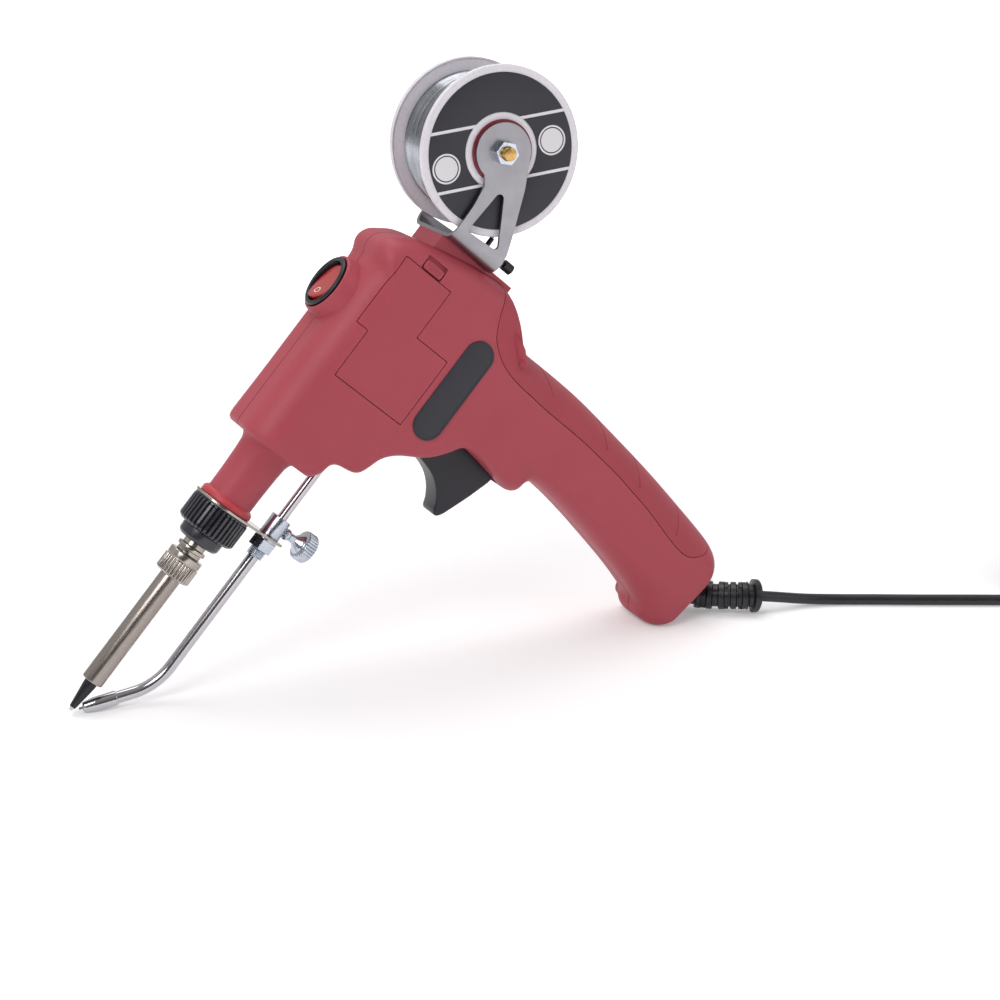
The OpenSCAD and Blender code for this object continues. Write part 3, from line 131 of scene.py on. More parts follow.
def grid(points: Array, loop_rows: bool = False, loop_cols: bool = True) -> Skin:
    """Joins a grid of points with quads.

    Args:
        points: array (rows, columns, 3).
        loop_rows: whether the last row joins the first.
        loop_cols: whether the last column joins the first.

    Returns:
        The skin, point k = row * columns + column.
    """
    rows, cols = points.shape[:2]
    i = np.arange(rows if loop_rows else rows - 1)[:, None]
    j = np.arange(cols if loop_cols else cols - 1)[None, :]
    a, b = i * cols + j, i * cols + (j + 1) % cols
    c, d = ((i + 1) % rows) * cols + (j + 1) % cols, ((i + 1) % rows) * cols + j
    return Skin(points.reshape(-1, 3), np.stack([a, b, c, d], -1).reshape(-1, 4))


def around(count: int) -> Array:
    """Even angles of one turn, as a row."""
    return np.linspace(0, TURN, count, endpoint=False)[None, :]


def eased(corners: Line, radius: float, steps: int = 4, closed: bool = False) -> Array:
    """Rounds a polyline's corners: each becomes a quadratic arc between points cut back along its two edges.

    Args:
        corners: polyline points of any dimension.
        radius: how far the arc is cut back, at most 0.45 of an edge.
        steps: points in each arc.
        closed: whether the last point joins the first.

    Returns:
        The rounded polyline.
    """
    p = np.asarray(corners, float)
    t = np.linspace(0, 1, steps)[None, :, None]
    cut = []
    for step in (1, -1):
        edge = np.roll(p, step, 0) - p
        length = np.linalg.norm(edge, axis=1)
        share = np.minimum(radius, 0.45 * length) / np.maximum(length, TINY)
        cut.append((p + edge * share[:, None])[:, None])
    arcs = (1 - t) ** 2 * cut[0] + 2 * t * (1 - t) * p[:, None] + t * t * cut[1]
    if closed:
        return arcs.reshape(-1, p.shape[1])
    return np.concatenate([p[:1], arcs[1:-1].reshape(-1, p.shape[1]), p[-1:]])


def natural_spline(knots: Array, at: Array, params: Array) -> Array:
    """Natural cubic spline: second derivatives come from the three-term system, zero at both ends.

    Args:
        knots: parameter of each point, rising.
        at: points (n, k).
        params: parameters to evaluate.

    Returns:
        Points (len(params), k).
    """
    n, h = len(knots), np.diff(knots)
    m = np.zeros((n, n))
    m[0, 0] = m[-1, -1] = 1
    k = np.arange(1, n - 1)
    m[k, k - 1], m[k, k], m[k, k + 1] = h[:-1], 2 * (h[:-1] + h[1:]), h[1:]
    rhs = np.zeros_like(at)
    rhs[1:-1] = 6 * np.diff(np.diff(at, axis=0) / h[:, None], axis=0)
    second = np.linalg.solve(m, rhs)
    i = np.clip(np.searchsorted(knots, params) - 1, 0, n - 2)
    hi, lo = (params - knots[i])[:, None], (knots[i + 1] - params)[:, None]
    w = h[i][:, None]
    bend = (second[i] * lo ** 3 + second[i + 1] * hi ** 3) / (6 * w)
    return bend + (at[i] / w - second[i] * w / 6) * lo + (at[i + 1] / w - second[i + 1] * w / 6) * hi


def run(points: Array) -> Array:
    """Length along a polyline up to each point."""
    return np.concatenate([[0.0], np.cumsum(np.linalg.norm(np.diff(points, axis=0), axis=1))])


def smooth_path(points: Line, spacing: float) -> Array:
    """A natural spline through points, taken at even steps of its own length, about spacing millimetres."""
    p = np.asarray(points, float)
    knots = run(p)
    fine = natural_spline(knots, p, np.linspace(0, knots[-1], 12 * len(p)))
    s = run(fine)
    even = np.linspace(0, s[-1], max(3, int(round(s[-1] / spacing)) + 1))
    return np.stack([np.interp(even, s, fine[:, k]) for k in range(p.shape[1])], -1)


def turned(profile: Line, origin: Sequence[float], axis: Sequence[float], turns: int = 72,
           hollow: bool = False, ripple: Optional[Ripple] = None) -> Skin:
    """A turned shape: point = origin + along * axis + radius * (cos a * u + sin a * v).

    Args:
        profile: array (k, 2) of distance along the axis and radius.
        origin: where distance 0 is.
        axis: direction of the axis.
        turns: points round the axis.
        hollow: whether the profile is a closed loop round a wall.
        ripple: adds to the radius, from (along, radius, angle).

    Returns:
        The closed surface.
    """
    profile = np.asarray(profile, float)
    w = np.asarray(axis, float) / np.linalg.norm(axis)
    u = np.cross(Z_AXIS if abs(w[2]) < 0.9 else X_AXIS, w)
    u /= np.linalg.norm(u)
    v = np.cross(w, u)
    a = around(turns)
    along, r = profile[:, :1], profile[:, 1:2] + 0 * a
    if ripple is not None:
        r = r + ripple(along, profile[:, 1:2], a)
    ring = (r * np.cos(a))[..., None] * u + (r * np.sin(a))[..., None] * v
    return grid(np.asarray(origin, float) + (along + 0 * a)[..., None] * w + ring, loop_rows=hollow).outward()


def swept(path: Array, radius: Union[float, Array], turns: int = 20, ref: Sequence[float] = Y_AXIS,
          capped: bool = True, ripple: Optional[Ripple] = None) -> Skin:
    """A round section carried along a path: side = tangent x ref, up = side x tangent, ring = cos * side + sin * up.

    Args:
        path: points (n, 3).
        radius: one radius, or one for each point.
        turns: points round the section.
        ref: a direction that the path never follows.
        capped: whether rings of no radius close the ends.
        ripple: adds to the radius, from (share of length, radius, angle).

    Returns:
        The surface.
    """
    t = np.gradient(path, axis=0)
    t /= np.linalg.norm(t, axis=1)[:, None]
    side = np.cross(t, np.asarray(ref, float))
    side /= np.linalg.norm(side, axis=1)[:, None]
    up = np.cross(side, t)
    a = around(turns)
    r = np.broadcast_to(np.asarray(radius, float), (len(path),))[:, None] + 0 * a
    if ripple is not None:
        r = r + ripple((run(path) / run(path)[-1])[:, None], r, a)
    ring = path[:, None] + (r * np.cos(a))[..., None] * side[:, None] + (r * np.sin(a))[..., None] * up[:, None]
    if not capped:
        return grid(ring)
    first, last = (np.repeat(path[[k], None], turns, 1) for k in (0, -1))
    return grid(np.concatenate([first, ring, last])).outward()


def normals(outline: Array, back: int) -> Array:
    """Outward unit normals of a closed outline (n, 2), of the chord from point i - back to point i + 1."""
    nxt = np.roll(outline, -1, 0)
    area = np.sum(outline[:, 0] * nxt[:, 1] - nxt[:, 0] * outline[:, 1])
    chord = nxt - np.roll(outline, back, 0)
    chord /= np.maximum(np.linalg.norm(chord, axis=1), TINY)[:, None]
    return np.stack([chord[:, 1], -chord[:, 0]], -1) * np.sign(area)


def mitres(outline: Array) -> Array:
    """How each corner moves when all edges move out by one: its edges' normals added, over their share of one."""
    normal = normals(outline, 0)
    both = normal + np.roll(normal, 1, 0)
    return both / np.maximum((both * normal).sum(1), 0.3)[:, None]


def plate(outline: Line, y0: float, y1: float, soft: float = 0.0, steps: int = 3) -> Skin:
    """A flat plate in the side view, its two rims rounded: rings move in by soft * (1 - sin) as they near a face.

    Args:
        outline: closed outline (n, 2) of x and z.
        y0: one face.
        y1: the other face.
        soft: rounding of the rims.
        steps: rings in each rounding.

    Returns:
        The closed surface.
    """
    p = np.asarray(outline, float)
    a = np.linspace(0, QUARTER, steps + 1) if soft else np.array([QUARTER])
    inset, depth = soft * (1 - np.sin(a)), soft * (1 - np.cos(a))
    inset = np.concatenate([inset, inset[::-1]])
    y = np.concatenate([y0 + depth, (y1 - depth)[::-1]])
    ring = p[None] - mitres(p)[None] * inset[:, None, None]
    skin = grid(np.stack([ring[..., 0], np.repeat(y[:, None], len(p), 1), ring[..., 1]], -1))
    rows, n = ring.shape[:2]
    skin.ends = [list(range(n))[::-1], list(range((rows - 1) * n, rows * n))]
    return skin.outward()


def pane(low: Sequence[float], high: Sequence[float], ease: float, soft: float = 0.0, steps: int = 4) -> Skin:
    """A block from its two corners (x, y, z), the corners of its side view eased and its rims softened."""
    (x0, y0, z0), (x1, y1, z1) = low, high
    return plate(eased([[x0, z0], [x1, z0], [x1, z1], [x0, z1]], ease, steps, closed=True), y0, y1, soft)


def rod(start: float, end: float, radius: float) -> list[list[float]]:
    """Profile of a solid cylinder."""
    return [[start, 0], [start, radius], [end, radius], [end, 0]]


def level(start: float, end: float, radius: float, count: int) -> Array:
    """Profile of a land, finely stepped so that a thread can be cut into it."""
    return np.stack([np.linspace(start, end, count), np.full(count, radius)], -1)


def lozenge(a: Sequence[float], b: Sequence[float], ra: float, rb: float, count: int) -> Array:
    """Outline of two half circles, of radius ra on the left of a and rb on the right of b."""
    t = np.linspace(QUARTER, 3 * QUARTER, count)
    ring = np.stack([np.cos(t), np.sin(t)], -1)
    return np.concatenate([np.asarray(a) + ring * ra, np.asarray(b) - ring * rb])


def knurl(count: float, depth: float, where: Where, power: float = 1.0) -> Ripple:
    """Straight knurls: the radius falls by depth * (1 - |cos(count * angle)| ^ power) where `where` holds."""
    return lambda x, r, a: -depth * (1 - np.abs(np.cos(a * count)) ** power) * where(x, r)


def thread(pitch: float, depth: float, where: Where) -> Ripple:
    """A helical V thread: the radius falls with the phase of x / pitch less the angle's share of a turn."""
    return lambda x, r, a: -depth * np.abs(2 * ((x / pitch - a / TURN) % 1.0) - 1) * where(x, r)


# ---------------------------------------------------------------- finishes

def linear(colour: str) -> tuple[float, float, float, float]:
    """Turns an sRGB hex value into the linear numbers that a shader wants."""
    c = np.array([int(colour[k:k + 2], 16) for k in (1, 3, 5)]) / 255
    lin = np.where(c <= 0.04045, c / 12.92, ((c + 0.055) / 1.055) ** 2.4)
    return (float(lin[0]), float(lin[1]), float(lin[2]), 1.0)


class Nodes:
    """A node tree written as calls; a (node, output) pair given as a value is linked, anything else is set."""

    def __init__(self, owner: Union[bpy.types.Material, bpy.types.World]) -> None:
        """Empties the tree of a material or world."""
        owner.use_nodes = True
        self.tree = owner.node_tree
        self.tree.nodes.clear()

    def add(self, kind: str, inputs: dict, **settings: object) -> bpy.types.Node:
        """Adds a node.

        Args:
            kind: its type without ShaderNode.
            inputs: socket name or number to value or (node, output).
            settings: its attributes, set before the inputs.

        Returns:
            The node.
        """
        node = self.tree.nodes.new(f"ShaderNode{kind}")
        for name, value in settings.items():
            setattr(node, name, value)
        for name, value in inputs.items():
            if isinstance(value, tuple) and isinstance(value[0], bpy.types.Node):
                self.tree.links.new(value[0].outputs[value[1]], node.inputs[name])
            else:
                node.inputs[name].default_value = value
        return node

    def place(self, output: str = "Object") -> tuple:
        """The point that is shaded."""
        return self.add("TexCoord", {}), output

    def math(self, operation: str, *values: object) -> tuple:
        """A sum of numbers."""
        return self.add("Math", dict(enumerate(values)), operation=operation), 0

    def vector(self, operation: str, *values: object) -> tuple:
        """A sum of vectors."""
        node = self.add("VectorMath", dict(enumerate(values)), operation=operation)
        return node, "Value" if operation == "LENGTH" else "Vector"

    def mapped(self, vector: tuple, **inputs: object) -> tuple:
        """A vector seen from a moved, turned and stretched frame."""
        return self.add("Mapping", {"Vector": vector, **inputs}, vector_type="TEXTURE"), "Vector"

    def noise(self, vector: tuple, scale: float, detail: float, rough: float = 0.5) -> tuple:
        """A noise of 0 to 1."""
        inputs = {"Vector": vector, "Scale": scale, "Detail": detail, "Roughness": rough}
        return self.add("TexNoise", inputs), "Fac"

    def spread(self, value: tuple, reach: tuple, to: tuple, kind: str = "LINEAR") -> tuple:
        """A value's reach laid over another."""
        inputs = {"Value": value, "From Min": reach[0], "From Max": reach[1], "To Min": to[0], "To Max": to[1]}
        return self.add("MapRange", inputs, interpolation_type=kind), "Result"

    def mix(self, share: tuple, first: tuple, second: tuple) -> tuple:
        """A mix of two colours."""
        return self.add("Mix", {0: share, 6: first, 7: second}, data_type="RGBA"), 2


class Surface(Enum):
    """How a surface was made, which decides its pattern."""

    MOULDED = "moulded"
    BRUSHED = "brushed"
    TURNED = "turned"
    PLATED = "plated"
    PRINTED = "printed"


@dataclass(frozen=True)
class Finish:
    """A material: what it is, its sRGB colours, its gloss, and its pattern's size in millimetres."""

    name: str
    colour: str
    shade: str
    roughness: float
    surface: Surface = Surface.MOULDED
    metallic: float = 0.0
    ior: float = 1.5
    grain: float = 0.5
    depth: float = 0.02
    blotch: float = 14.0
    blotch_amount: float = 0.5
    rough_spread: float = 0.06
    coat: float = 0.0
    sheen: float = 0.0
    glow: float = 0.0
    glow_depth: float = 1.5
    pit_share: float = 1.3
    stretch: tuple[float, float, float] = (1.0, 1.0, 1.0)
    turn: tuple[float, float, float] = (0.0, 0.0, 0.0)

    def material(self) -> bpy.types.Material:
        """The node material, made once: two colours blotched by a broad noise, roughness and bump from a fine one."""
        found = bpy.data.materials.get(self.name)
        if found is not None:
            return found
        mat = bpy.data.materials.new(self.name)
        nodes = Nodes(mat)
        place = nodes.place()
        aligned = nodes.mapped(place, Rotation=self.turn, Scale=self.stretch)
        broad = nodes.noise(aligned, 1 / (self.blotch * MM), 3.0, 0.55)
        fine = nodes.noise(aligned, 1 / (self.grain * MM), 2.0, 0.6)
        tint = nodes.spread(broad, (0.35, 0.65), (0.0, self.blotch_amount))
        colour = nodes.mix(tint, linear(self.colour), linear(self.shade))
        gloss = nodes.spread(fine, (0.3, 0.7), (self.roughness - self.rough_spread, self.roughness + self.rough_spread))
        height = fine
        if self.surface is Surface.MOULDED:
            scale = 1 / (self.grain * self.pit_share * MM)
            pits = nodes.add("TexVoronoi", {"Vector": place, "Scale": scale}, feature="SMOOTH_F1")
            height = nodes.math("ADD", fine, (pits, "Distance"))
        bump = nodes.add("Bump", {"Height": height, "Distance": self.depth * MM, "Strength": 1.0})
        shader = nodes.add("BsdfPrincipled", {
            "Metallic": self.metallic, "IOR": self.ior, "Coat Weight": self.coat, "Coat Roughness": 0.12,
            "Sheen Weight": self.sheen, "Sheen Roughness": 0.5, "Subsurface Weight": self.glow,
            "Subsurface Radius": (1.0, 0.7, 0.7), "Subsurface Scale": self.glow_depth * MM,
            "Base Color": self.pattern(nodes, place, colour), "Roughness": gloss, "Normal": (bump, "Normal")})
        nodes.add("OutputMaterial", {"Surface": (shader, "BSDF")})
        return mat

    def pattern(self, nodes: Nodes, place: tuple, colour: tuple) -> tuple:
        """The base colour's (node, output); a printed finish lays its print over it."""
        return colour


@dataclass(frozen=True)
class PrintedDisc(Finish):
    """The spool's paper label: black, with two white rules and two plain white rounds."""

    centre: tuple[float, float] = (33.97, 199.45)
    rule_turn: float = math.radians(6.7)
    rule_reach: float = 10.8
    rule_half: float = 0.55
    rounds: tuple[tuple[float, float], ...] = ((-22.2, -2.4), (20.6, 0.6))
    round_r: float = 5.5
    ring_share: float = 0.84
    ring_half_share: float = 0.04
    ink: str = "#E9E6EA"

    def pattern(self, nodes: Nodes, place: tuple, colour: tuple) -> tuple:
        """Marks are ink where a distance from the disc's centre lines is small; the marks' shares are added up."""
        at = nodes.mapped(place, Location=(self.centre[0] * MM, 0.0, self.centre[1] * MM),
                          Rotation=(0.0, -self.rule_turn, 0.0))
        up = nodes.math("ABSOLUTE", (nodes.add("SeparateXYZ", {"Vector": at}), "Z"))
        off = nodes.math("ABSOLUTE", nodes.math("SUBTRACT", up, self.rule_reach * MM))
        mark = nodes.math("LESS_THAN", off, self.rule_half * MM)
        for x, z in self.rounds:
            away = nodes.vector("SUBTRACT", at, (x * MM, 0.0, z * MM))
            far = nodes.vector("LENGTH", nodes.vector("MULTIPLY", away, (1.0, 0.0, 1.0)))
            ring = nodes.math("ABSOLUTE", nodes.math("SUBTRACT", far, self.round_r * self.ring_share * MM))
            clear = nodes.math("GREATER_THAN", ring, self.round_r * self.ring_half_share * MM)
            dot = nodes.math("MULTIPLY", nodes.math("LESS_THAN", far, self.round_r * MM), clear)
            mark = nodes.math("MAXIMUM", mark, dot)
        return nodes.mix(mark, colour, linear(self.ink))


PLATED, TURNED, PRINTED = Surface.PLATED, Surface.TURNED, Surface.PRINTED
# Long scratches of drawn and ground tubes lie along the leaning barrel
ALONG_BARREL = (0.0, -POSE.lean, 0.0)
# Satin ABS, injection moulded on a spark-eroded tool: a fine even grain of about 0.4 mm and soft, broad highlights
CASE_RED = Finish("moulded_red_abs", "#B24A56", "#AA4450", 0.5, ior=1.42, grain=0.42, depth=0.012, blotch=30.0)
# The nose's rim is the same resin, thin enough that light passes into it; its two colours are painted lighter than the
# casing's red, a painted glow standing in for that light
RIM_RED = Finish("red_abs_painted_glow", "#C24850", "#B84048", 0.4, ior=1.42, grain=0.42, depth=0.01, glow=0.25)
# Soft-touch rubber skin over the grip's back: a shade duller, finer grain
GRIP_RED = Finish("soft_touch_rubber", "#AE4652", "#A6404C", 0.62, ior=1.42, grain=0.3, depth=0.016, blotch=24.0,
                  sheen=0.06)
# Glass-filled nylon, moulded: near black with a violet cast and a satin shine
NYLON = Finish("black_nylon", "#211F28", "#1B1922", 0.38, ior=1.45, grain=0.5, depth=0.015)
# Phenolic resin, pressed: black, harder and shinier than nylon
PHENOLIC = Finish("pressed_phenolic", "#25232D", "#1E1C25", 0.3, ior=1.6, grain=0.6, depth=0.012, coat=0.15)
# PVC of the cord, relief and plug: extruded and moulded, black, slightly waxy
PVC = Finish("black_pvc", "#1B1B20", "#232329", 0.36, grain=0.8, depth=0.02, blotch=8.0)
# Vinyl film label, printed black, smooth and matt
FILM = Finish("vinyl_label", "#26242E", "#2B2933", 0.5, grain=0.25, depth=0.004)
# Steel sheet, bead-blasted then nickel plated: satin, the grain of about 0.3 mm reads as a soft grey
SHEET = Finish("satin_nickel_sheet", "#A09EA3", "#8F8D93", 0.36, PLATED, 1.0, grain=0.3, depth=0.006, blotch=9.0)
# Stainless tube, ground along its length: fine long scratches, streaks of light along the barrel
SLEEVE = Finish("ground_stainless", "#A89E98", "#8E8580", 0.27, Surface.BRUSHED, 1.0, grain=0.35, depth=0.004,
                stretch=(25.0, 1.0, 1.0), turn=ALONG_BARREL, rough_spread=0.08)
# Drawn and chromed steel of the guide tubes: a mirror with faint drawing lines
CHROME = Finish("drawn_chromed_steel", "#C9C6CB", "#B5B2B8", 0.14, Surface.BRUSHED, 1.0, grain=0.4, depth=0.002,
                stretch=(20.0, 1.0, 1.0), turn=ALONG_BARREL, rough_spread=0.04)
# Zinc-plated steel, clear passivated: bluish, a little cloudy
ZINC = Finish("zinc_plate", "#C3C9D3", "#AFB8C6", 0.24, PLATED, 1.0, grain=0.7, depth=0.006, blotch=4.0)
# Nickel-plated nut: warmer than zinc
NICKEL = Finish("nickel_plate", "#B8B0A9", "#9E968F", 0.2, TURNED, 1.0, grain=0.5, depth=0.004, blotch=6.0)
# Pins, wheel and frame inside: plain turned and blanked steel
MILD = Finish("oiled_steel", "#9B9A9C", "#878688", 0.34, TURNED, 1.0, grain=0.4, depth=0.006, blotch=7.0)
# Brass bolt, turned and left bright
BRASS = Finish("turned_brass", "#C7A064", "#B08A50", 0.26, TURNED, 1.0, grain=0.5, depth=0.004, blotch=3.0)
# Black oxidised iron plating of the tip's shank
TIP = Finish("black_tip_plating", "#26262C", "#1D1D22", 0.32, PLATED, 0.3, grain=0.5, depth=0.01, blotch=4.0)
# Tinned working end of the tip: soft bright metal
TIN = Finish("tinned_end", "#C6C8CC", "#A6A9AF", 0.2, PLATED, 1.0, grain=0.6, depth=0.01, blotch=2.0)
# Solder wire, drawn tin alloy: bright grey with faint dulling along the strand
SOLDER = Finish("solder_wire", "#A6A9AF", "#83868D", 0.22, PLATED, 1.0, grain=0.9, depth=0.006, blotch=6.0)
# Polystyrene spool, moulded: white with a faint pink cast, light sinks a little way into it
SPOOL_WHITE = Finish("white_polystyrene", "#EAE6EC", "#E3DEE6", 0.3, ior=1.59, grain=1.2, depth=0.004, glow=0.3)
# Paper label on the spool, printed and varnished
DISC = PrintedDisc("spool_label_print", "#22202A", "#282630", 0.42, PRINTED, grain=0.4, depth=0.003)
# Dark red acetal bushes
BUSH = Finish("acetal_bush", "#7C1E2A", "#701824", 0.34, grain=0.6, depth=0.008)
# Polycarbonate rocker, clear red: light passes through and gathers at its edges
ROCKER = Finish("clear_red_rocker", "#B4221D", "#9C1A17", 0.18, grain=1.5, depth=0.003, glow=0.15, coat=0.2)
# Printed mark on the rocker
MARK = Finish("rocker_mark", "#F0D8D4", "#E8CCC8", 0.4, PRINTED, grain=0.4, depth=0.002)
# Alumina ceramic of the heater
CERAMIC = Finish("alumina", "#ECE8DF", "#E2DDD2", 0.55, grain=0.4, depth=0.01)
# Terminal block, moulded nylon, cream
CREAM = Finish("cream_nylon", "#E6E1D2", "#DCD6C6", 0.45, grain=0.6, depth=0.01)
# Silicone-sleeved leads
LEADS = Finish("silicone_sleeve", "#D9D4C8", "#CCC6B8", 0.5, grain=0.6, depth=0.01)
# Hook-and-loop tie: a short pile
TIE = Finish("tie_webbing", "#202024", "#2A2A30", 0.85, grain=0.5, depth=0.08, sheen=0.4)


# ---------------------------------------------------------------- the scene's objects

@contextmanager
def editing(mesh: bpy.types.Mesh) -> Iterator[bmesh.types.BMesh]:
    """Opens a mesh for editing and writes it back."""
    bm = bmesh.new()
    bm.from_mesh(mesh)
    yield bm
    bm.to_mesh(mesh)
    bm.free()


def placed(name: str, data: bpy.types.ID) -> Object:
    """Puts data into the scene as an object at the origin."""
    obj = bpy.data.objects.new(name, data)
    bpy.context.scene.collection.objects.link(obj)
    return obj


def to_object(name: str, skins: Union[Skin, Sequence[Skin]], stood: bool = True) -> Object:
    """Makes one mesh object of skins, merged where they close on themselves.

    Args:
        name: the piece's name.
        skins: one skin or several.
        stood: whether the points are in the gun's frame; otherwise they are row-frame millimetres.

    Returns:
        The object, at the origin.
    """
    several = [skins] if isinstance(skins, Skin) else list(skins)
    start = np.cumsum([0] + [len(s.points) for s in several])
    points = np.concatenate([s.points for s in several])
    faces: list[list[int]] = []
    for s, k in zip(several, start):
        faces += (s.quads + k).tolist() + [[i + int(k) for i in e] for e in s.ends]
    mesh = bpy.data.meshes.new(name)
    mesh.from_pydata((POSE.stand(points) if stood else points * MM).tolist(), [], faces)
    tidy(mesh, 1e-7)
    smooth(mesh, SHARP_OVER)
    return placed(name, mesh)


def tidy(mesh: bpy.types.Mesh, distance: float, flatten: float = 0.0) -> None:
    """Merges doubled points of a mesh, and coplanar triangles where flatten is an angle in radians."""
    with editing(mesh) as bm:
        bmesh.ops.remove_doubles(bm, verts=bm.verts, dist=distance)
        bmesh.ops.dissolve_degenerate(bm, edges=bm.edges, dist=distance)
        if flatten:
            bmesh.ops.dissolve_limit(bm, angle_limit=flatten, verts=bm.verts, edges=bm.edges)


def smooth(mesh: bpy.types.Mesh, sharp_over: float) -> None:
    """Smooth shading, with edges of more than sharp_over degrees kept sharp."""
    mesh.polygons.foreach_set("use_smooth", np.ones(len(mesh.polygons), bool))
    mesh.set_sharp_from_angle(angle=math.radians(sharp_over))
    mesh.update()


def baked(obj: Object) -> None:
    """Applies an object's modifiers to its mesh."""
    bpy.context.view_layer.update()
    graph = bpy.context.evaluated_depsgraph_get()
    mesh = bpy.data.meshes.new_from_object(obj.evaluated_get(graph))
    obj.modifiers.clear()
    obj.data = mesh


def carved(obj: Object, cutters: Sequence[Skin], how: str = "DIFFERENCE") -> None:
    """Cuts closed skins out of an object, or with INTERSECT keeps what lies in them; its mesh is replaced."""
    for k, skin in enumerate(cutters):
        tool = to_object(f"cutter_{k}", skin)
        mod = obj.modifiers.new("cut", "BOOLEAN")
        mod.operation, mod.solver, mod.object = how, "EXACT", tool
        baked(obj)
        bpy.data.objects.remove(tool)


def dressed(obj: Object, finish: Finish, body: str, replaces: Sequence[str] = (), bevel: float = 0.0,
            angle: float = 40.0) -> Object:
    """Gives a piece its finish and its body, and reports it.

    Args:
        obj: the piece.
        finish: its material.
        body: the CAD body that it rides on.
        replaces: CAD nodes that it stands for.
        bevel: rounding of edges sharper than angle, in millimetres.
        angle: degrees.

    Returns:
        The piece.
    """
    obj.data.materials.clear()
    obj.data.materials.append(finish.material())
    if bevel:
        mod = obj.modifiers.new("edge", "BEVEL")
        mod.width, mod.segments, mod.limit_method, mod.angle_limit = bevel * MM, 2, "ANGLE", math.radians(angle)
        mod.harden_normals = True
    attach(obj, body)
    if replaces:
        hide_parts(*replaces)
    LOG.info("%s: %d faces, %s, rides on %s", obj.name, len(obj.data.polygons), finish.name, body)
    return obj


def refined(frame: dict, node: str, finish: Finish, body: str, bevel: float, angle: float = 32.0,
            rounder: int = 0) -> Object:
    """A merged copy of a CAD node with softened edges, standing for it.

    Args:
        node: the node.
        finish: its material.
        body: its body.
        bevel: rounding of its edges in millimetres.
        angle: degrees over which an edge is rounded.
        rounder: levels of subdivision, for soft leads.

    Returns:
        The piece.
    """
    mesh = frame["nodes"][node].data.copy()
    mesh.name = f"{node}_fine"
    tidy(mesh, 2e-6, 0.0 if rounder else 0.004)
    smooth(mesh, 30.0)
    obj = placed(mesh.name, mesh)
    if rounder:
        mod = obj.modifiers.new("round", "SUBSURF")
        mod.levels = mod.render_levels = rounder
    return dressed(obj, finish, body, [node], bevel, angle)


@dataclass(frozen=True)
class Turning:
    """A turned piece: its profile of (along, radius), eased by soft, with its finish, body and CAD nodes."""

    name: str
    profile: Line
    soft: float
    finish: Finish
    body: str = "body"
    nodes: tuple[str, ...] = ()
    hollow: bool = True
    turns: int = 96
    ripple: Optional[Ripple] = None

    def make(self, origin: Sequence[float], axis: Sequence[float]) -> Object:
        """Turns it about an axis through the origin given."""
        profile = eased(self.profile, self.soft, closed=self.hollow)
        skin = turned(profile, origin, axis, self.turns, self.hollow, self.ripple)
        return dressed(to_object(self.name, skin), self.finish, self.body, self.nodes)


# ---------------------------------------------------------------- casing

# Ribs of the casing from the front round to the foot: outer x and z, inner x and z, as shares (see side_view)
RIB_SHARES = np.array([
    [0, .908, 0, -.215], [.01, .975, .02, -.253], [.034, 1, .049, -.277], [.079, 1, .082, -.29], [.109, 1, .098, -.32],
    [.134, 1, .106, -.392], [.164, 1, .116, -.457], [.204, 1, .14, -.493], [.264, 1, .179, -.517],
    [.334, 1, .219, -.548],
    [.404, 1, .256, -.61], [.474, 1, .284, -.688], [.544, 1, .312, -.773], [.614, 1, .348, -.845], [.684, 1, .386, -.9],
    [.744, 1, .416, -.937], [.789, 1.025, .433, -.967], [.819, 1.098, .44, -1.004], [.849, 1.086, .44, -1.027],
    [.879, .97, .437, -1.054], [.904, .755, .432, -1.085], [.93, .49, .426, -1.115], [.953, 0, .42, -1.142],
    [.972, -.133, .414, -1.169], [.99, -.267, .409, -1.196], [1.002, -.4, .416, -1.222], [1.007, -.517, .438, -1.238],
    [1, -.593, .464, -1.243], [.977, -.65, .486, -1.254], [.94, -.697, .498, -1.277], [.906, -.75, .5, -1.308],
    [.88, -.83, .498, -1.346], [.87, -.942, .494, -1.385], [.87, -1.046, .487, -1.431], [.871, -1.138, .476, -1.492],
    [.867, -1.238, .464, -1.55], [.855, -1.346, .45, -1.612], [.84, -1.462, .434, -1.681], [.82, -1.6, .414, -1.754],
    [.794, -1.738, .393, -1.815], [.772, -1.846, .37, -1.851], [.754, -1.915, .342, -1.866],
    [.732, -1.958, .33, -1.895],
    [.702, -1.98, .336, -1.929], [.654, -1.988, .364, -1.9548], [.594, -1.985, .414, -1.97]])
CUSHION_SHARES = np.array([
    [1.03, -.52], [.94, -.555], [.871, -.61], [.823, -.662], [.775, -.787], [.753, -.928], [.743, -1.125],
    [.742, -1.275], [.726, -1.446], [.691, -1.629], [.649, -1.769], [.64, -1.831], [.656, -1.866], [.703, -1.908],
    [.9, -1.95], [1.2, -1.6], [1.2, -.6]])
TRIGGER_SHARES = np.array([
    [.37, -.627], [.33, -.742], [.307, -.847], [.298, -.925], [.28, -1.004], [.246, -1.038], [.204, -1.062],
    [.170, -1.071], [.163, -1.085], [.18, -1.1], [.299, -1.138], [.413, -1.168], [.444, -1.15], [.457, -1.077],
    [.444, -.967], [.418, -.667]])
HEAD_START, HEAD_LENGTH, FACE_RISE, HEAD_DROP, HANDLE_DROP = 121.6, 100.0, 16.3, 60.0, 130.0
WIRE_DROP = 22.0
SWITCH_X = 183.0


def side_view(shares: Array) -> Array:
    """Points (n, 2) of shares of the head's length and of height.

    A height of 0 to 1 climbs to the face, 0 to -1 drops to the head's floor, and below -1 goes on down the handle.
    """
    x, s = HEAD_START + HEAD_LENGTH * shares[:, 0], shares[:, 1]
    low = np.where(s >= -1, s * HEAD_DROP, (s + 1) * HANDLE_DROP - HEAD_DROP)
    return np.stack([x, np.where(s >= 0, s * FACE_RISE, low)], -1)


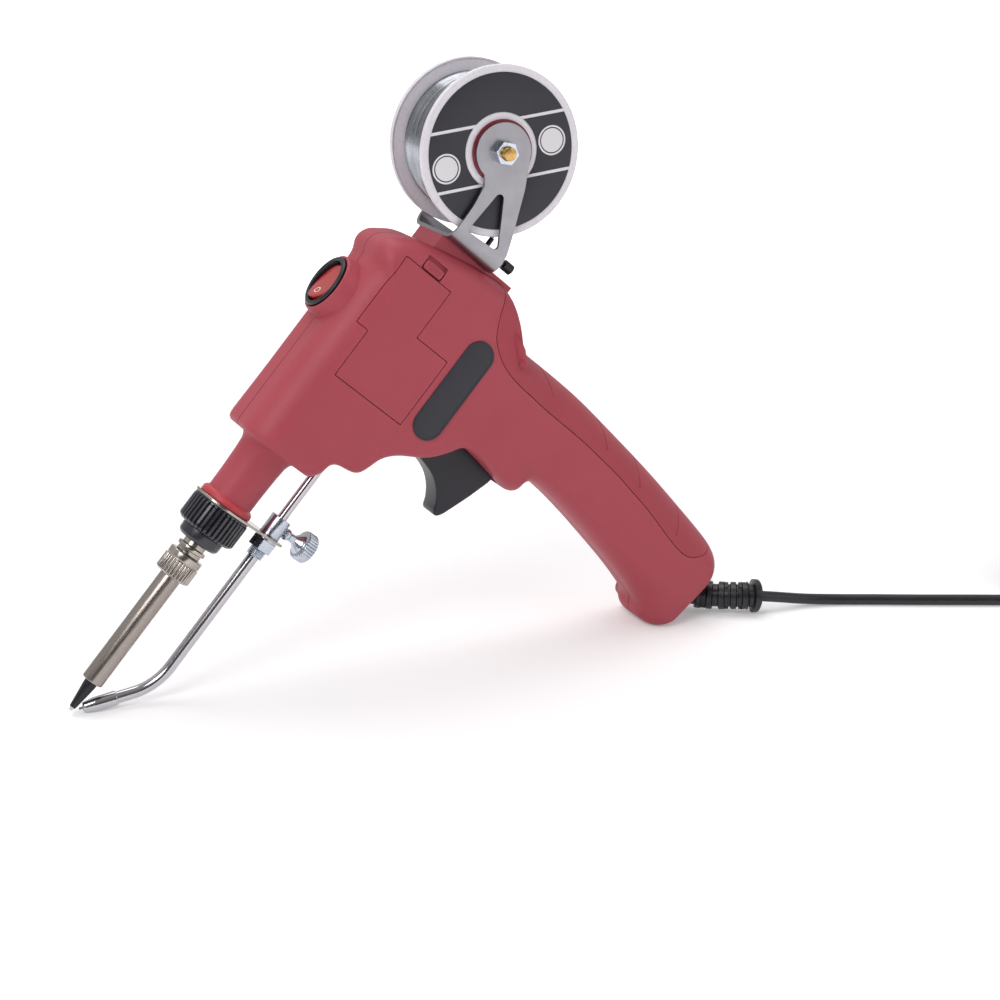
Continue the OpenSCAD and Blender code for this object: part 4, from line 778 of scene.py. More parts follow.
@dataclass
class Casing:
    """The two red halves, lofted over the outline's ribs, with the cover, latch, cushion, boss and label."""

    frame: dict
    head_half: float = 19.0
    handle_half: float = 16.8
    narrow_from: float = -48.0
    narrow_over: float = 38.0
    crown: float = 0.35
    wall: float = 2.6
    seam: float = 0.14
    seam_tuck: float = 0.45
    seam_lip: float = 0.2
    rings: int = 230
    # Corner sizes at rib numbers: outer across and down, inner across and down
    corner_ribs: tuple = (0, 8, 15, 18, 21, 25, 29, 34, 40, 43, 45)
    corners: tuple = ((11, 11.5, 11.5, 10, 8, 9.5, 11.5, 13.5, 13.5, 12.5, 11),
                      (10, 13, 13, 10, 8, 9, 11, 13.5, 13.5, 8, 3),
                      (5, 4, 5, 6, 8, 11, 12, 13.5, 13, 12, 11),
                      (4, 4, 5, 6, 8, 10, 12, 13.5, 12, 7, 3))
    # Shares of the half width near the front and the foot
    width_ribs: tuple = (0, 0.5, 1, 2, 40, 42, 43, 44, 45)
    widths: tuple = (0.925, 0.97, 0.985, 1, 1, 0.985, 0.95, 0.88, 0.72)
    front_hole: float = 9.0
    middle: tuple = (170.0, 0.0, -20.0)
    screws: tuple = ((130.6, 8.97), (216.6, -30.0), (146.6, -29.6), (189.0, -117.98), (162.0, -175.96))
    cover: tuple = ((157.4, -28.68), (186.4, -28.68), (186.4, -12.72), (207.3, -12.72), (207.3, 9.7), (177.5, 9.7),
                    (177.5, 4.56), (157.4, 4.56))
    latch: tuple = (209.6, -1.98)
    trigger_slot: tuple = ((150.5, -6.35, -84.2), (181.5, 6.35, -40.0))
    finger_heights: tuple = (-64.0, -99.0, -124.0, -154.0)
    handle_ring: int = 110
    boss_loop: tuple = ((-7, 13.6), (4.6, 13.35), (6.3, 13.0), (10.6, 11.9), (11.0, 11.6), (11.0, 10.75), (-7, 10.75))
    post_loop: tuple = ((0, 1.6), (0, 4.2), (26, 4.2), (26, 3.05), (16, 3.05), (16, 1.6))
    label_ends: tuple = ((164.0, -37.8), (195.1, -37.8))

    def edges(self) -> tuple[Array, Array, Array]:
        """Outer and inner edge points of every ring, and the rib number that each ring lies at."""
        both = np.concatenate([side_view(RIB_SHARES[:, :2]), side_view(RIB_SHARES[:, 2:])], 1)
        knots = run(both / math.sqrt(2))
        s = np.linspace(0, knots[-1], self.rings)
        fine = natural_spline(knots, both, s)
        return fine[:, :2], fine[:, 2:], np.interp(s, knots, np.arange(len(both)))

    def sections(self) -> Array:
        """Half-sections (ring, point, 3) on the side of positive y.

        Each is a rounded rectangle between its outer and inner edge: flat, elliptical corner, crowned side, corner,
        flat; its half width narrows from the head's to the handle's by the height of each point.
        """
        outer, inner, rib = self.edges()
        mid, half = (outer + inner) / 2, np.linalg.norm(outer - inner, axis=1) / 2
        way = (outer - inner) / (2 * half[:, None])
        oy, oa, iy, ia = (np.interp(rib, self.corner_ribs, sizes)[:, None] for sizes in self.corners)
        width = np.interp(rib, self.width_ribs, self.widths)[:, None]
        h, w = half[:, None], self.head_half
        oa, ia = np.minimum(oa, 0.9 * h), np.minimum(ia, 0.9 * h)
        q, side = np.linspace(0, 1, 7)[None, :-1], np.linspace(0, 1, 20)[None, :-1]
        a = np.linspace(0, QUARTER, 13)[None, :-1]
        parts = ((q * (w - oy), h + 0 * q),
                 (w - oy + oy * np.sin(a), h - oa * (1 - np.cos(a))),
                 (w + 0 * side * h, (h - oa) + side * (ia + oa - 2 * h)),
                 (w - iy * (1 - np.cos(a)), -h + ia * (1 - np.sin(a))),
                 ((1 - q) * (w - iy), -h + 0 * q),
                 (0 * h, -h))
        y, t = (np.concatenate([part[k] for part in parts], 1) for k in (0, 1))
        y = y + self.crown * np.clip(y / w - 0.6, 0, 1) / 0.4 * (1 - (t / h) ** 2)
        xz = mid[:, None] + t[..., None] * way[:, None]
        blend = np.clip((self.narrow_from - xz[..., 1]) / self.narrow_over, 0, 1)
        y = y * width * (1 + (self.handle_half / w - 1) * blend * blend * (3 - 2 * blend))
        return np.stack([xz[..., 0], y, xz[..., 1]], -1)

    def closed_ends(self, body: Array) -> Array:
        """Adds rings that close the front down to a round hole, and the foot down to a line."""
        first, last = body[0], body[-1]
        angle = np.arctan2(first[:, 1], first[:, 2])
        hole = np.stack([first[:, 0], self.front_hole * np.sin(angle), self.front_hole * np.cos(angle)], -1)
        front = np.stack([hole + k * (first - hole) for k in (0, 0.3, 0.6, 0.85)])
        centre = np.array([last[:, 0].mean(), 0, last[:, 2].mean()])
        foot = np.stack([centre + k * (last - centre) for k in (0.85, 0.6, 0.3, 0.02)])
        return np.concatenate([front, body, foot])

    def half(self, sign: float) -> Object:
        """One half's wall: the half-sections with their ends at the seam tucked in, then thickened inwards."""
        s = self.closed_ends(self.sections())
        inward = (s[:, s.shape[1] // 2] * [1, 0, 1])[:, None] - s
        inward /= np.linalg.norm(inward, axis=-1)[..., None]
        y = np.maximum(s[..., 1], self.seam)
        tuck = np.zeros_like(y)
        tuck[:, [0, -1]] = self.seam_tuck
        s = s + inward * tuck[..., None]
        s[..., 1] = y
        lips = s[:, [1, -2]].copy()
        lips[..., 1] = self.seam + self.seam_lip
        s = np.concatenate([s[:, :1], lips[:, :1], s[:, 1:-1], lips[:, 1:], s[:, -1:]], 1)
        s[..., 1] *= sign
        return self.thickened(to_object("casing_left" if sign < 0 else "casing_right", grid(s, loop_cols=False)))

    def thickened(self, obj: Object) -> Object:
        """Gives an open surface its wall, on the inside: the face furthest to a side tells which way is out."""
        with editing(obj.data) as bm:
            bmesh.ops.recalc_face_normals(bm, faces=bm.faces)
            side = max(bm.faces, key=lambda f: abs(f.calc_center_median().y))
            if (side.calc_center_median() - Vector(POSE.stand(self.middle))).dot(side.normal) < 0:
                bmesh.ops.reverse_faces(bm, faces=bm.faces)
        mod = obj.modifiers.new("wall", "SOLIDIFY")
        mod.thickness, mod.offset, mod.use_rim, mod.use_even_offset = self.wall * MM, -1, True, False
        baked(obj)
        return obj

    def cushion_plate(self, grow: float) -> Skin:
        """The cushion's outline, moved out by grow, right through the handle."""
        p = eased(side_view(CUSHION_SHARES), 5.0, 5, closed=True)
        return plate(p + grow * normals(p, 1), -30, 30)

    def cover_plate(self, grow: float) -> Skin:
        """The cover's outline, moved out by grow, through the left wall."""
        p = np.asarray(self.cover, float)
        return plate(eased(p + grow * mitres(p), 0.6, closed=True), -30, -12)

    def common_cuts(self) -> list[Skin]:
        """What is cut from both halves: the switch's well, the trigger's slot, the wire's way in and out."""
        low, high = self.trigger_slot
        return [
            turned(eased(rod(-8, 26, 10.7), 0.1, 5), (SWITCH_X, 0, 10), Z_AXIS, 64),
            plate([[low[0], low[2]], [high[0], low[2]], [high[0], high[2]], [low[0], high[2]]], low[1], high[1]),
            turned(rod(-12, 12, 2.2), (222, 0, -WIRE_DROP), X_AXIS, 32),
            turned(rod(-8, 8, 2.6), (131, 0, -WIRE_DROP), X_AXIS, 32),
        ]

    def build(self) -> None:
        """Builds the halves, cover, latch, cushion, boss, label and screws."""
        left, right = self.half(-1.0), self.half(1.0)
        cover = placed("feed_cover_skin", left.data.copy())
        lx, lz = self.latch
        pocket = pane((lx - 2.15, -30, lz - 4.8), (lx + 3.5, -17.3, lz + 4.8), 0.7)
        gap = self.cushion_plate(self.seam)
        carved(left, [*self.common_cuts(), self.cover_plate(self.seam), pocket, gap])
        wells = [turned(rod(0, 30, 3.0), (x, 8, z), Y_AXIS, 32) for x, z in self.screws]
        carved(right, [*self.common_cuts(), gap, *wells])
        carved(cover, [self.cover_plate(-self.seam)], "INTERSECT")
        for obj, body, node in ((left, "body", "left_shell"), (right, "body", "right_shell"),
                                (cover, "cover", "feed_cover")):
            smooth(obj.data, CASING_SHARP_OVER)
            dressed(obj, CASE_RED, body, [node])
        self.cushion()
        boss = turned(eased(self.boss_loop, 0.5, 5, closed=True), (SWITCH_X, 0, 10), Z_AXIS, 96, hollow=True)
        dressed(to_object("switch_boss", boss), CASE_RED, "body")
        post = eased(self.post_loop, 0.3, 3, closed=True)
        posts = [turned(post, (x, -9.5, z), Y_AXIS, 32, hollow=True) for x, z in self.screws]
        dressed(to_object("screw_posts", posts), CASE_RED, "body")
        tab = pane((lx - 1.7, -19.45, lz - 4.3), (lx + 1.7, -17.45, lz + 4.3), 0.8, 0.35)
        ridges = [pane((lx + k - 0.25, -19.65, lz - 3.2), (lx + k + 0.25, -19.3, lz + 3.2), 0.2, 0.12, 3)
                  for k in (-0.8, 0, 0.8)]
        dressed(to_object("latch_button", [tab, *ridges]), CASE_RED, "latch", ["cover_latch"])
        self.label()
        refined(self.frame, "case_screws", ZINC, "body", 0.15)

    def cushion(self) -> None:
        """The soft back of the grip: the full section's wall inside the cushion's outline, four finger lines cut in."""
        s = self.sections()
        obj = to_object("grip_cushion_skin", grid(np.concatenate([s, (s * [1, -1, 1])[:, -2:0:-1]], 1)))
        self.thickened(obj)
        carved(obj, [self.cushion_plate(-self.seam)], "INTERSECT")
        lines = []
        on_head = 1000 * (np.arange(len(s)) < self.handle_ring)
        for height in self.finger_heights:
            arc = s[int(np.argmin(np.abs(s[:, 0, 2] - height) + on_head)), :18]
            arc = np.concatenate([(arc * [1, -1, 1])[:0:-1], arc])
            arc[:, 2] -= 1.6 * (np.abs(arc[:, 1]) / self.handle_half) ** 2
            lines.append(swept(smooth_path(arc, 1.0), 0.42, 8, Z_AXIS))
        carved(obj, lines)
        smooth(obj.data, CASING_SHARP_OVER)
        dressed(obj, GRIP_RED, "body", ["grip_cushion"])

    def label(self) -> None:
        """The name plate's place: a bare black lozenge of film with an embossed rim."""
        film, outer, inner = (lozenge(*self.label_ends, r, r, 24) for r in (6.3, 5.75, 5.45))
        low, high = -19.7, -19.82
        rows = np.stack([np.insert(p, 1, y, 1) for p, y in ((outer, low), (outer, high), (inner, high), (inner, low))])
        skins = [plate(film, -19.72, -18.6, 0.2), grid(rows, loop_rows=True).outward()]
        dressed(to_object("label_film", skins), FILM, "body", ["label_plate"])


# ---------------------------------------------------------------- barrel, nose, collar

def collar_grooves(x: Array, r: Array, a: Array) -> Array:
    """Narrow grooves between broad ribs on the outer land, 0.95 deep, open towards the tip."""
    return -0.95 * np.clip((np.cos(a * 38) - 0.25) / 0.75, 0, 1) ** 0.8 * (r > 11.2) * (x < 92.9)


@dataclass
class Barrel:
    """Tip, sleeve, knurled nut, neck, boss, collar and nose tube, all turned about the gun's x axis."""

    frame: dict
    parts: tuple = (
        Turning("tip_cone", [[1.5, 0], [1.5, 1.25], [11.6, 2.52], [13.4, 2.58], [14.2, 2.58], [14.2, 0]], 0.2,
                TIP, nodes=("soldering_tip",), hollow=False, turns=64),
        Turning("tinned_nib", [[-0.05, 0], [0.1, 0.5], [1.55, 1.22], [1.55, 0]], 0.15, TIN, hollow=False, turns=48),
        Turning("ground_sleeve", [[13.45, 2.75], [13.4, 4.0], [13.75, 4.25], [67, 4.25], [67, 3.75], [14, 3.75],
                                  [14, 2.75]], 0.2, SLEEVE, nodes=("barrel_sleeve",)),
        Turning("knurled_nut", [[62, 4.4], [62, 6.3], [62.6, 7.1], [68.6, 7.1], [68.8, 6.7], [69.1, 6.7], [69.3, 6.9],
                                [71.6, 6.9], [72, 6.5], [72, 4.4]], 0.15, NICKEL, "barrel_nut", ("barrel_nut",),
                turns=360, ripple=knurl(15, 0.5, lambda x, r: (r > 6.95) * (x < 68.9), 0.8)),
        Turning("turned_neck", [[60, 3.6], [60, 4.2], [72, 4.2], [72.1, 4.9], [73.7, 4.9], [73.9, 5.8], [75.3, 5.8],
                                [75.5, 4.6], [77.5, 4.6], [77.5, 3.6]], 0.18, NICKEL, nodes=("barrel_neck",)),
        Turning("heater_boss_turned", [[77.5, 3.5], [77.5, 7.4], [78.6, 8.5], [81.9, 8.7], [82.4, 8.2], [85.4, 8.1],
                                       [85.6, 9.6], [93.7, 9.6], [93.7, 6.3], [108, 6.3], [108, 3.5]], 0.35,
                PHENOLIC, nodes=("heater_boss",)),
        Turning("ribbed_collar", [[82.2, 8.6], [82.2, 10.5], [83.2, 11.75], [84, 11.9], [92.4, 11.9], [92.6, 11.6],
                                  [93.6, 11.6], [93.8, 11.3], [93.8, 9.8], [85.6, 9.8], [85.6, 8.6]], 0.3,
                PHENOLIC, "collar", ("collar",), turns=456, ripple=collar_grooves),
        Turning("nose_tube_turned", [[97.3, 7.0], [97.3, 9.3], [98.4, 9.2], [106, 9.3], [114, 9.6], [118.6, 9.95],
                                     [120.6, 10.6], [121.5, 11.6], [122.2, 11.6], [122.2, 7.0]], 0.5,
                CASE_RED, nodes=("nose_tube",)),
        Turning("nose_rim", [[94.8, 7.0], [94.8, 10.5], [95.2, 10.8], [96.9, 10.7], [97.8, 9.7], [98.0, 9.25],
                             [98.0, 7.0]], 0.35, RIM_RED))

    def build(self) -> None:
        """Builds the barrel's pieces, from the tip back."""
        for part in self.parts:
            part.make((0, 0, 0), X_AXIS)
        refined(self.frame, "heater_element", CERAMIC, "body", 0.1)


# ---------------------------------------------------------------- solder guide

@dataclass
class Guide:
    """Support plate, clamp block, nut, washer, thumb screw, the two tubes, the nozzle and the wire in them."""

    frame: dict
    tube_r: float = 2.3
    bore_r: float = 1.1
    wire_r: float = 0.5
    bend_r: float = 24.0
    bend: float = math.radians(41)
    bend_start: float = 33.409
    upper_end: float = 98.3
    tip: tuple = (3.2, -3.54)
    nozzle: tuple = ((0, 1.15), (0, 1.75), (0.5, 2.1), (4.6, 2.75), (12.6, 2.8), (12.9, 2.5), (12.9, 2.32), (2.4, 2.32),
                     (2.4, 1.15))
    strand: tuple = ((259, 0, -23.9), (234.5, 0, -22.0), (215, 0, -22), (172, 0, -22), (130, 0, -22), (100.6, 0, -22))
    screw_head: tuple = ((4.7, 0), (4.7, 2.1), (5.3, 2.35), (6.3, 2.3), (6.9, 1.7), (9.2, 1.7), (10.2, 2.6),
                         (11.6, 3.9), (12.3, 4.3), (12.4, 5.5), (12.9, 6.0), (16.6, 6.0), (17.2, 5.5),
                         (17.25, 4.6), (16.9, 3.6), (16.9, 0))

    def route(self, reach: float) -> Array:
        """The lower tube's centreline: straight, an arc of the bend, then straight to reach past the nozzle's mouth."""
        a = np.linspace(0, self.bend, 25)
        arc_x, arc_z = self.bend_start - self.bend_r * np.sin(a), -WIRE_DROP + self.bend_r * (1 - np.cos(a))
        arc = np.stack([arc_x, 0 * a, arc_z], -1)
        x = np.linspace(self.upper_end, self.bend_start, 20)
        straight = np.stack([x, 0 * x, 0 * x - WIRE_DROP], -1)
        way = np.array([-math.cos(self.bend), 0, math.sin(self.bend)])
        end = np.array([self.tip[0], 0, self.tip[1]]) + way * reach
        last = arc[-1] + (end - arc[-1]) * np.linspace(0, 1, 8)[:, None]
        return np.concatenate([straight[:-1], arc[:-1], last])

    def build(self) -> None:
        """Builds the guide's pieces."""
        self.lower_tube()
        nozzle = Turning("nozzle_turned", self.nozzle, 0.25, CHROME, "guide", ("nozzle",), turns=64)
        nozzle.make((self.tip[0], 0, self.tip[1]), (math.cos(self.bend), 0.0, -math.sin(self.bend)))
        wire = swept(self.route(1.5), self.wire_r, 12)
        dressed(to_object("solder_end_drawn", wire), SOLDER, "guide", ["solder_end"])
        strand = swept(smooth_path(self.strand, 2), self.wire_r, 12)
        dressed(to_object("solder_strand", strand), SOLDER, "body", ["solder_wire"])
        self.thumb_screw()
        refined(self.frame, "upper_guide_tube", CHROME, "body", 0.15)
        refined(self.frame, "support_plate", NICKEL, "body", 0.2)
        self.clamp()
        refined(self.frame, "guide_nut", ZINC, "body", 0.35)
        refined(self.frame, "lock_washer", ZINC, "body", 0.12)

    def lower_tube(self) -> None:
        """The bent tube: its outside, its bore turned inside out, and a ring of faces at each mouth."""
        path = self.route(-2.6)
        outer, bore = swept(path, self.tube_r, 32, capped=False), swept(path, self.bore_r, 16, capped=False)
        outside, inside = outer.points.reshape(-1, 32, 3), bore.points.reshape(-1, 16, 3)
        mouths = [grid(np.stack([outside[k], np.repeat(inside[k], 2, 0)])) for k in (0, -1)]
        obj = to_object("bent_tube", [outer, Skin(bore.points, bore.quads[:, ::-1]), *mouths])
        with editing(obj.data) as bm:
            bmesh.ops.recalc_face_normals(bm, faces=bm.faces)
        smooth(obj.data, SHARP_OVER)
        dressed(obj, CHROME, "guide", ["lower_guide_tube"])

    def clamp(self) -> None:
        """The clamp block: a turned barrel and a threaded stub below the plate."""
        barrel = eased([[94.8, 3.4], [94.8, 4.1], [103.0, 4.1], [103.0, 2.0]], 0.25)
        loop = np.concatenate([[[85.2, 2.38]], level(85.25, 94.7, 3.4, 70), barrel, [[100.6, 2.0], [100.5, 2.38]]])
        stub = thread(0.7, 0.32, lambda x, r: (r > 3.3) & (r < 3.5))
        body = turned(loop, (0, 0, -WIRE_DROP), X_AXIS, 48, True, stub)
        dressed(to_object("clamp_turned", body), ZINC, "body", ["clamp_block"])

    def thumb_screw(self) -> None:
        """Thread, shoulder, waist and a knurled head, turned about the direction away from the barrel."""
        shank = np.concatenate([[[2.4, 0]], level(2.45, 9.4, 1.5, 60), [[9.4, 0]]])
        at, down = (98.9, 0, -WIRE_DROP), (0, 0, -1)
        skins = [turned(shank, at, down, 32, ripple=thread(0.6, 0.18, lambda x, r: 1.0)),
                 turned(eased(self.screw_head, 0.25), at, down, 336, ripple=knurl(14, 0.42, lambda x, r: r > 5.75))]
        dressed(to_object("thumb_screw_turned", skins), ZINC, "thumb_screw", ["thumb_screw"])


# ---------------------------------------------------------------- trigger, switch and the feed inside

@dataclass
class Mechanism:
    """The trigger and what it drives, the switch, and the parts inside the casing."""

    frame: dict
    pivot: tuple = (160.0, -40.02)
    pawl_joint: tuple = (172.0, -38.02)
    drive: tuple = (172.0, -15.4)
    idler: tuple = (172.0, -28.6)
    hinge: tuple = (185.8, -33.1)
    hub_r: float = 3.15
    face_z: float = 21.0
    bezel: tuple = ((0, 8.75), (0, 10.5), (0.5, 10.75), (1.1, 10.35), (1.35, 9.7), (1.15, 9.0), (0.4, 8.75), (-9, 8.75),
                    (-9, 9.35), (-0.2, 9.35))
    rocker_tilt: float = math.radians(9)
    dish: float = 62.0
    rocker_rise: float = 0.95
    wire_r: float = 0.27
    wire_pitch: float = 0.65

    def build(self) -> None:
        """Builds the mechanism's pieces."""
        self.trigger()
        self.switch()
        self.springs()
        self.rollers()
        for node, body in (("trigger_pin", "body"), ("mechanism_frame", "body"), ("feed_axle", "feed_drive"),
                           ("ratchet_wheel", "feed_drive"), ("idler_arm", "idler"), ("idler_axle", "idler"),
                           ("idler_pivot", "body"), ("pawl", "pawl")):
            refined(self.frame, node, MILD, body, 0.15)
        refined(self.frame, "terminal_block", CREAM, "body", 0.4)
        refined(self.frame, "cord_clamp", NYLON, "body", 0.4)
        refined(self.frame, "inner_cord", PVC, "body", 0, rounder=2)
        refined(self.frame, "inner_wires", LEADS, "body", 0, rounder=1)

    def trigger(self) -> None:
        """The trigger's blade: its eased outline as a plate with generous rims, plus hub, arm and stud."""
        (px, pz), (jx, jz) = self.pivot, self.pawl_joint
        blade = plate(eased(side_view(TRIGGER_SHARES), 2.5, closed=True), -6.0, 6.0, 1.1, 5)
        loop = eased([[-6, 1.56], [-6, self.hub_r], [8.3, self.hub_r], [8.3, 1.56]], 0.3, 3, closed=True)
        hub = turned(loop, (px, 0, pz), Y_AXIS, 40, hollow=True)
        arm = plate(lozenge(self.pivot, self.pawl_joint, self.hub_r, 2.0, 12), 6.3, 8.3, 0.25)
        stud = turned(eased(rod(3.8, 8.3, 1.0), 0.15, 3), (jx, 0, jz), Y_AXIS, 24)
        dressed(to_object("trigger_blade", [blade, hub, arm, stud]), NYLON, "trigger", ["trigger"])

    def switch(self) -> None:
        """The round rocker switch: a bezel with a rolled rim, its floor and blades, then the rocker."""
        at = (SWITCH_X, 0, self.face_z)
        skins = [turned(eased(self.bezel, 0.3, closed=True), at, Z_AXIS, 96, hollow=True),
                 turned(eased(rod(-9.2, -8.6, 9.3), 0.1, 3), at, Z_AXIS, 48)]
        skins += [pane((x - 0.4, -2.4, 2), (x + 0.4, 2.4, 12), 0.18, 0.12) for x in (SWITCH_X - 3, SWITCH_X + 3)]
        dressed(to_object("switch_bezel", skins), NYLON, "body", ["switch_housing"])
        self.rocker()

    def tilted(self, x: Array, y: Array, z: Array) -> Array:
        """Points on the rocker: (x, z) turned by its tilt and set on the switch."""
        c, s = math.cos(self.rocker_tilt), math.sin(self.rocker_tilt)
        return np.stack([SWITCH_X + x * c + z * s, y, self.face_z - x * s + z * c], -1)

    def rocker(self) -> None:
        """The rocker: height = tilted plane, dished along x as a wide circle, dropped off at its rim; then its mark."""
        r = np.concatenate([np.linspace(0, 7.7, 18), [7.95, 8.05, 8.05]])[:, None]
        x, y = r * np.cos(around(96)), r * np.sin(around(96))
        z = self.rocker_rise - 1.0 + x * x / self.dish - 0.35 * np.clip((r - 7.2) / 0.85, 0, 1) ** 2
        z[-1:] = -5.0
        points = self.tilted(x, y, z)
        low = points[-1:] * [0, 0, 1] + np.array([SWITCH_X, 0, 0])
        cap = grid(np.concatenate([points, low])).outward()
        dressed(to_object("rocker_cap", cap), ROCKER, "rocker", ["switch_rocker"])
        r = np.array([1.35, 1.35, 1.85, 1.85])[:, None]
        x, y = -4.4 + r * np.cos(around(48)) * 0.75, r * np.sin(around(48))
        z = self.rocker_rise - 1.0 + x * x / self.dish + np.array([-0.05, 0.04, 0.04, -0.05])[:, None]
        mark = grid(self.tilted(x, y, z), loop_rows=True).outward()
        dressed(to_object("rocker_ring_mark", mark), MARK, "rocker")

    def springs(self) -> None:
        """Wound torsion springs: radius and pitch fixed, angle running, on the trigger's pin and the idler's."""
        skins = []
        for (x, z), y0, y1, r in ((self.pivot, -8.0, -6.3, 2.5), (self.hinge, -9.7, -5.6, 2.3)):
            turns = (y1 - y0 - 0.6) / self.wire_pitch
            a = np.linspace(0, TURN * turns, int(40 * turns))
            coil = np.stack([x + r * np.cos(a), y0 + 0.3 + self.wire_pitch * a / TURN, z + r * np.sin(a)], -1)
            skins.append(swept(coil, self.wire_r, 8))
        dressed(to_object("torsion_springs", skins), MILD, "body", ["return_springs"])

    def rollers(self) -> None:
        """Feed rollers with a shallow V groove for the wire and fine straight knurls on their lands."""
        teeth = knurl(20, 0.22, lambda y, r: r > 5.8)
        for name, (x, z), bore, body, node in (
                ("feed_roller_knurled", self.drive, 2.0, "feed_drive", "feed_roller"),
                ("idler_roller_knurled", self.idler, 1.4, "idler_wheel", "idler_roller")):
            loop = [[-3.5, bore], [-3.5, 5.9], [-0.7, 5.95], [0, 5.6], [0.7, 5.95], [3.5, 5.9], [3.5, bore]]
            skin = turned(eased(loop, 0.15, 3, closed=True), (x, 0, z), Y_AXIS, 240, True, teeth)
            dressed(to_object(name, skin), MILD, body, [node])


# ---------------------------------------------------------------- spool

@dataclass
class SpoolStand:
    """The bracket with its pad and screws, the bolt, nut and bushes, and the spool with its solder and label."""

    frame: dict
    centre: tuple = (259.0, 0.0, 3.5)
    turns: int = 28
    strand_r: float = 0.47
    layer_pitch: float = 0.95
    flange: tuple = ((12.0, 10.2), (14.1, 10.9), (14.1, 30.4), (13.6, 30.9), (13.7, 31.4), (15.9, 31.4), (16.0, 30.5),
                     (15.9, 28.9), (15.75, 28.6), (15.75, 14.2), (16.2, 13.6), (16.25, 10.2))
    core: tuple = ((-13.9, 10.2), (-13.9, 11.0), (13.9, 11.0), (13.9, 10.2))
    label: tuple = ((-16.0, 14.3), (-16.0, 28.5), (-15.8, 28.6), (-15.7, 28.6), (-15.7, 14.3))
    bushes: tuple = (
        ((-16.95, 2.7), (-16.95, 11.9), (-16.35, 11.9), (-16.35, 9.9), (-12, 9.9), (-12, 2.7)),
        ((16.95, 2.7), (12, 2.7), (12, 9.9), (16.35, 9.9), (16.35, 11.9), (16.95, 11.9)))
    bolt_head: tuple = ((18.4, 0), (18.4, 4.3), (21.5, 4.5), (22.0, 4.0), (22.0, 0))

    def spin(self, loop: Line, soft: float) -> Skin:
        """A turned wall about the spool's axis."""
        return turned(eased(loop, soft, closed=True), self.centre, Y_AXIS, 128, True)

    def build(self) -> None:
        """Builds the spool stand's pieces."""
        flanges = [self.spin((np.array(self.flange) * [s, 1])[::s], 0.35) for s in (-1, 1)]
        dressed(to_object("spool_moulded", [*flanges, self.spin(self.core, 0.1)]), SPOOL_WHITE, "spool", ["spool"])
        self.winding()
        dressed(to_object("spool_label_disc", self.spin(self.label, 0.03)), DISC, "spool", ["spool_label"])
        bushes = [self.spin(loop, 0.3) for loop in self.bushes]
        dressed(to_object("bushes_turned", bushes), BUSH, "body", ["spool_bushes"])
        profile = np.concatenate([[[-24.4, 0], [-24.4, 2.0]], level(-24.3, -18.2, 2.5, 60), [[18.5, 2.5], [18.5, 0]]])
        free_end = thread(0.8, 0.22, lambda y, r: (y < -18.3) * (r > 2.3))
        bolt = [turned(profile, self.centre, Y_AXIS, 40, ripple=free_end),
                turned(eased(self.bolt_head, 0.2, 3), self.centre, Y_AXIS, 6)]
        dressed(to_object("bolt_turned", bolt), BRASS, "body", ["spool_bolt"])
        refined(self.frame, "spool_nut", ZINC, "body", 0.4)
        refined(self.frame, "spool_bracket", SHEET, "body", 0.3, 28.0)
        refined(self.frame, "bracket_pad", CASE_RED, "body", 0.4)
        refined(self.frame, "bracket_screws", ZINC, "body", 0.15)
        refined(self.frame, "wire_inlet_guide", NYLON, "body", 0.3)

    def layer_ridges(self, y: Array, r: Array, a: Array) -> Array:
        """The layer below: ridges one strand apart."""
        return -0.35 * np.abs(np.sin(math.pi * (y + a * self.layer_pitch / TURN) / self.layer_pitch)) * (r > 20)

    def winding(self) -> None:
        """Solder wound side by side: a helix whose pitch and radius waver by slow sines, over a ridged core."""
        a = np.linspace(0, TURN * self.turns, 64 * self.turns)
        y = -13.3 + 26.6 * a / a[-1] + 0.10 * np.sin(a * 0.37) + 0.05 * np.sin(a * 1.3)
        r = 26.0 + 0.10 * np.sin(a * 0.23 + 1) + 0.08 * np.sin(a * 0.71)
        path = np.stack([self.centre[0] + r * np.cos(a), y, self.centre[2] + r * np.sin(a)], -1)
        dressed(to_object("solder_turns", swept(path, self.strand_r, 8)), SOLDER, "spool", ["solder_winding"])
        loop = np.concatenate([[[-13.8, 11.1]], level(-13.7, 13.7, 25.5, 150), [[13.8, 11.1]]])
        layer = turned(loop, self.centre, Y_AXIS, 96, True, self.layer_ridges)
        dressed(to_object("solder_layer", layer), SOLDER, "spool", ["solder_core"])


# ---------------------------------------------------------------- cord

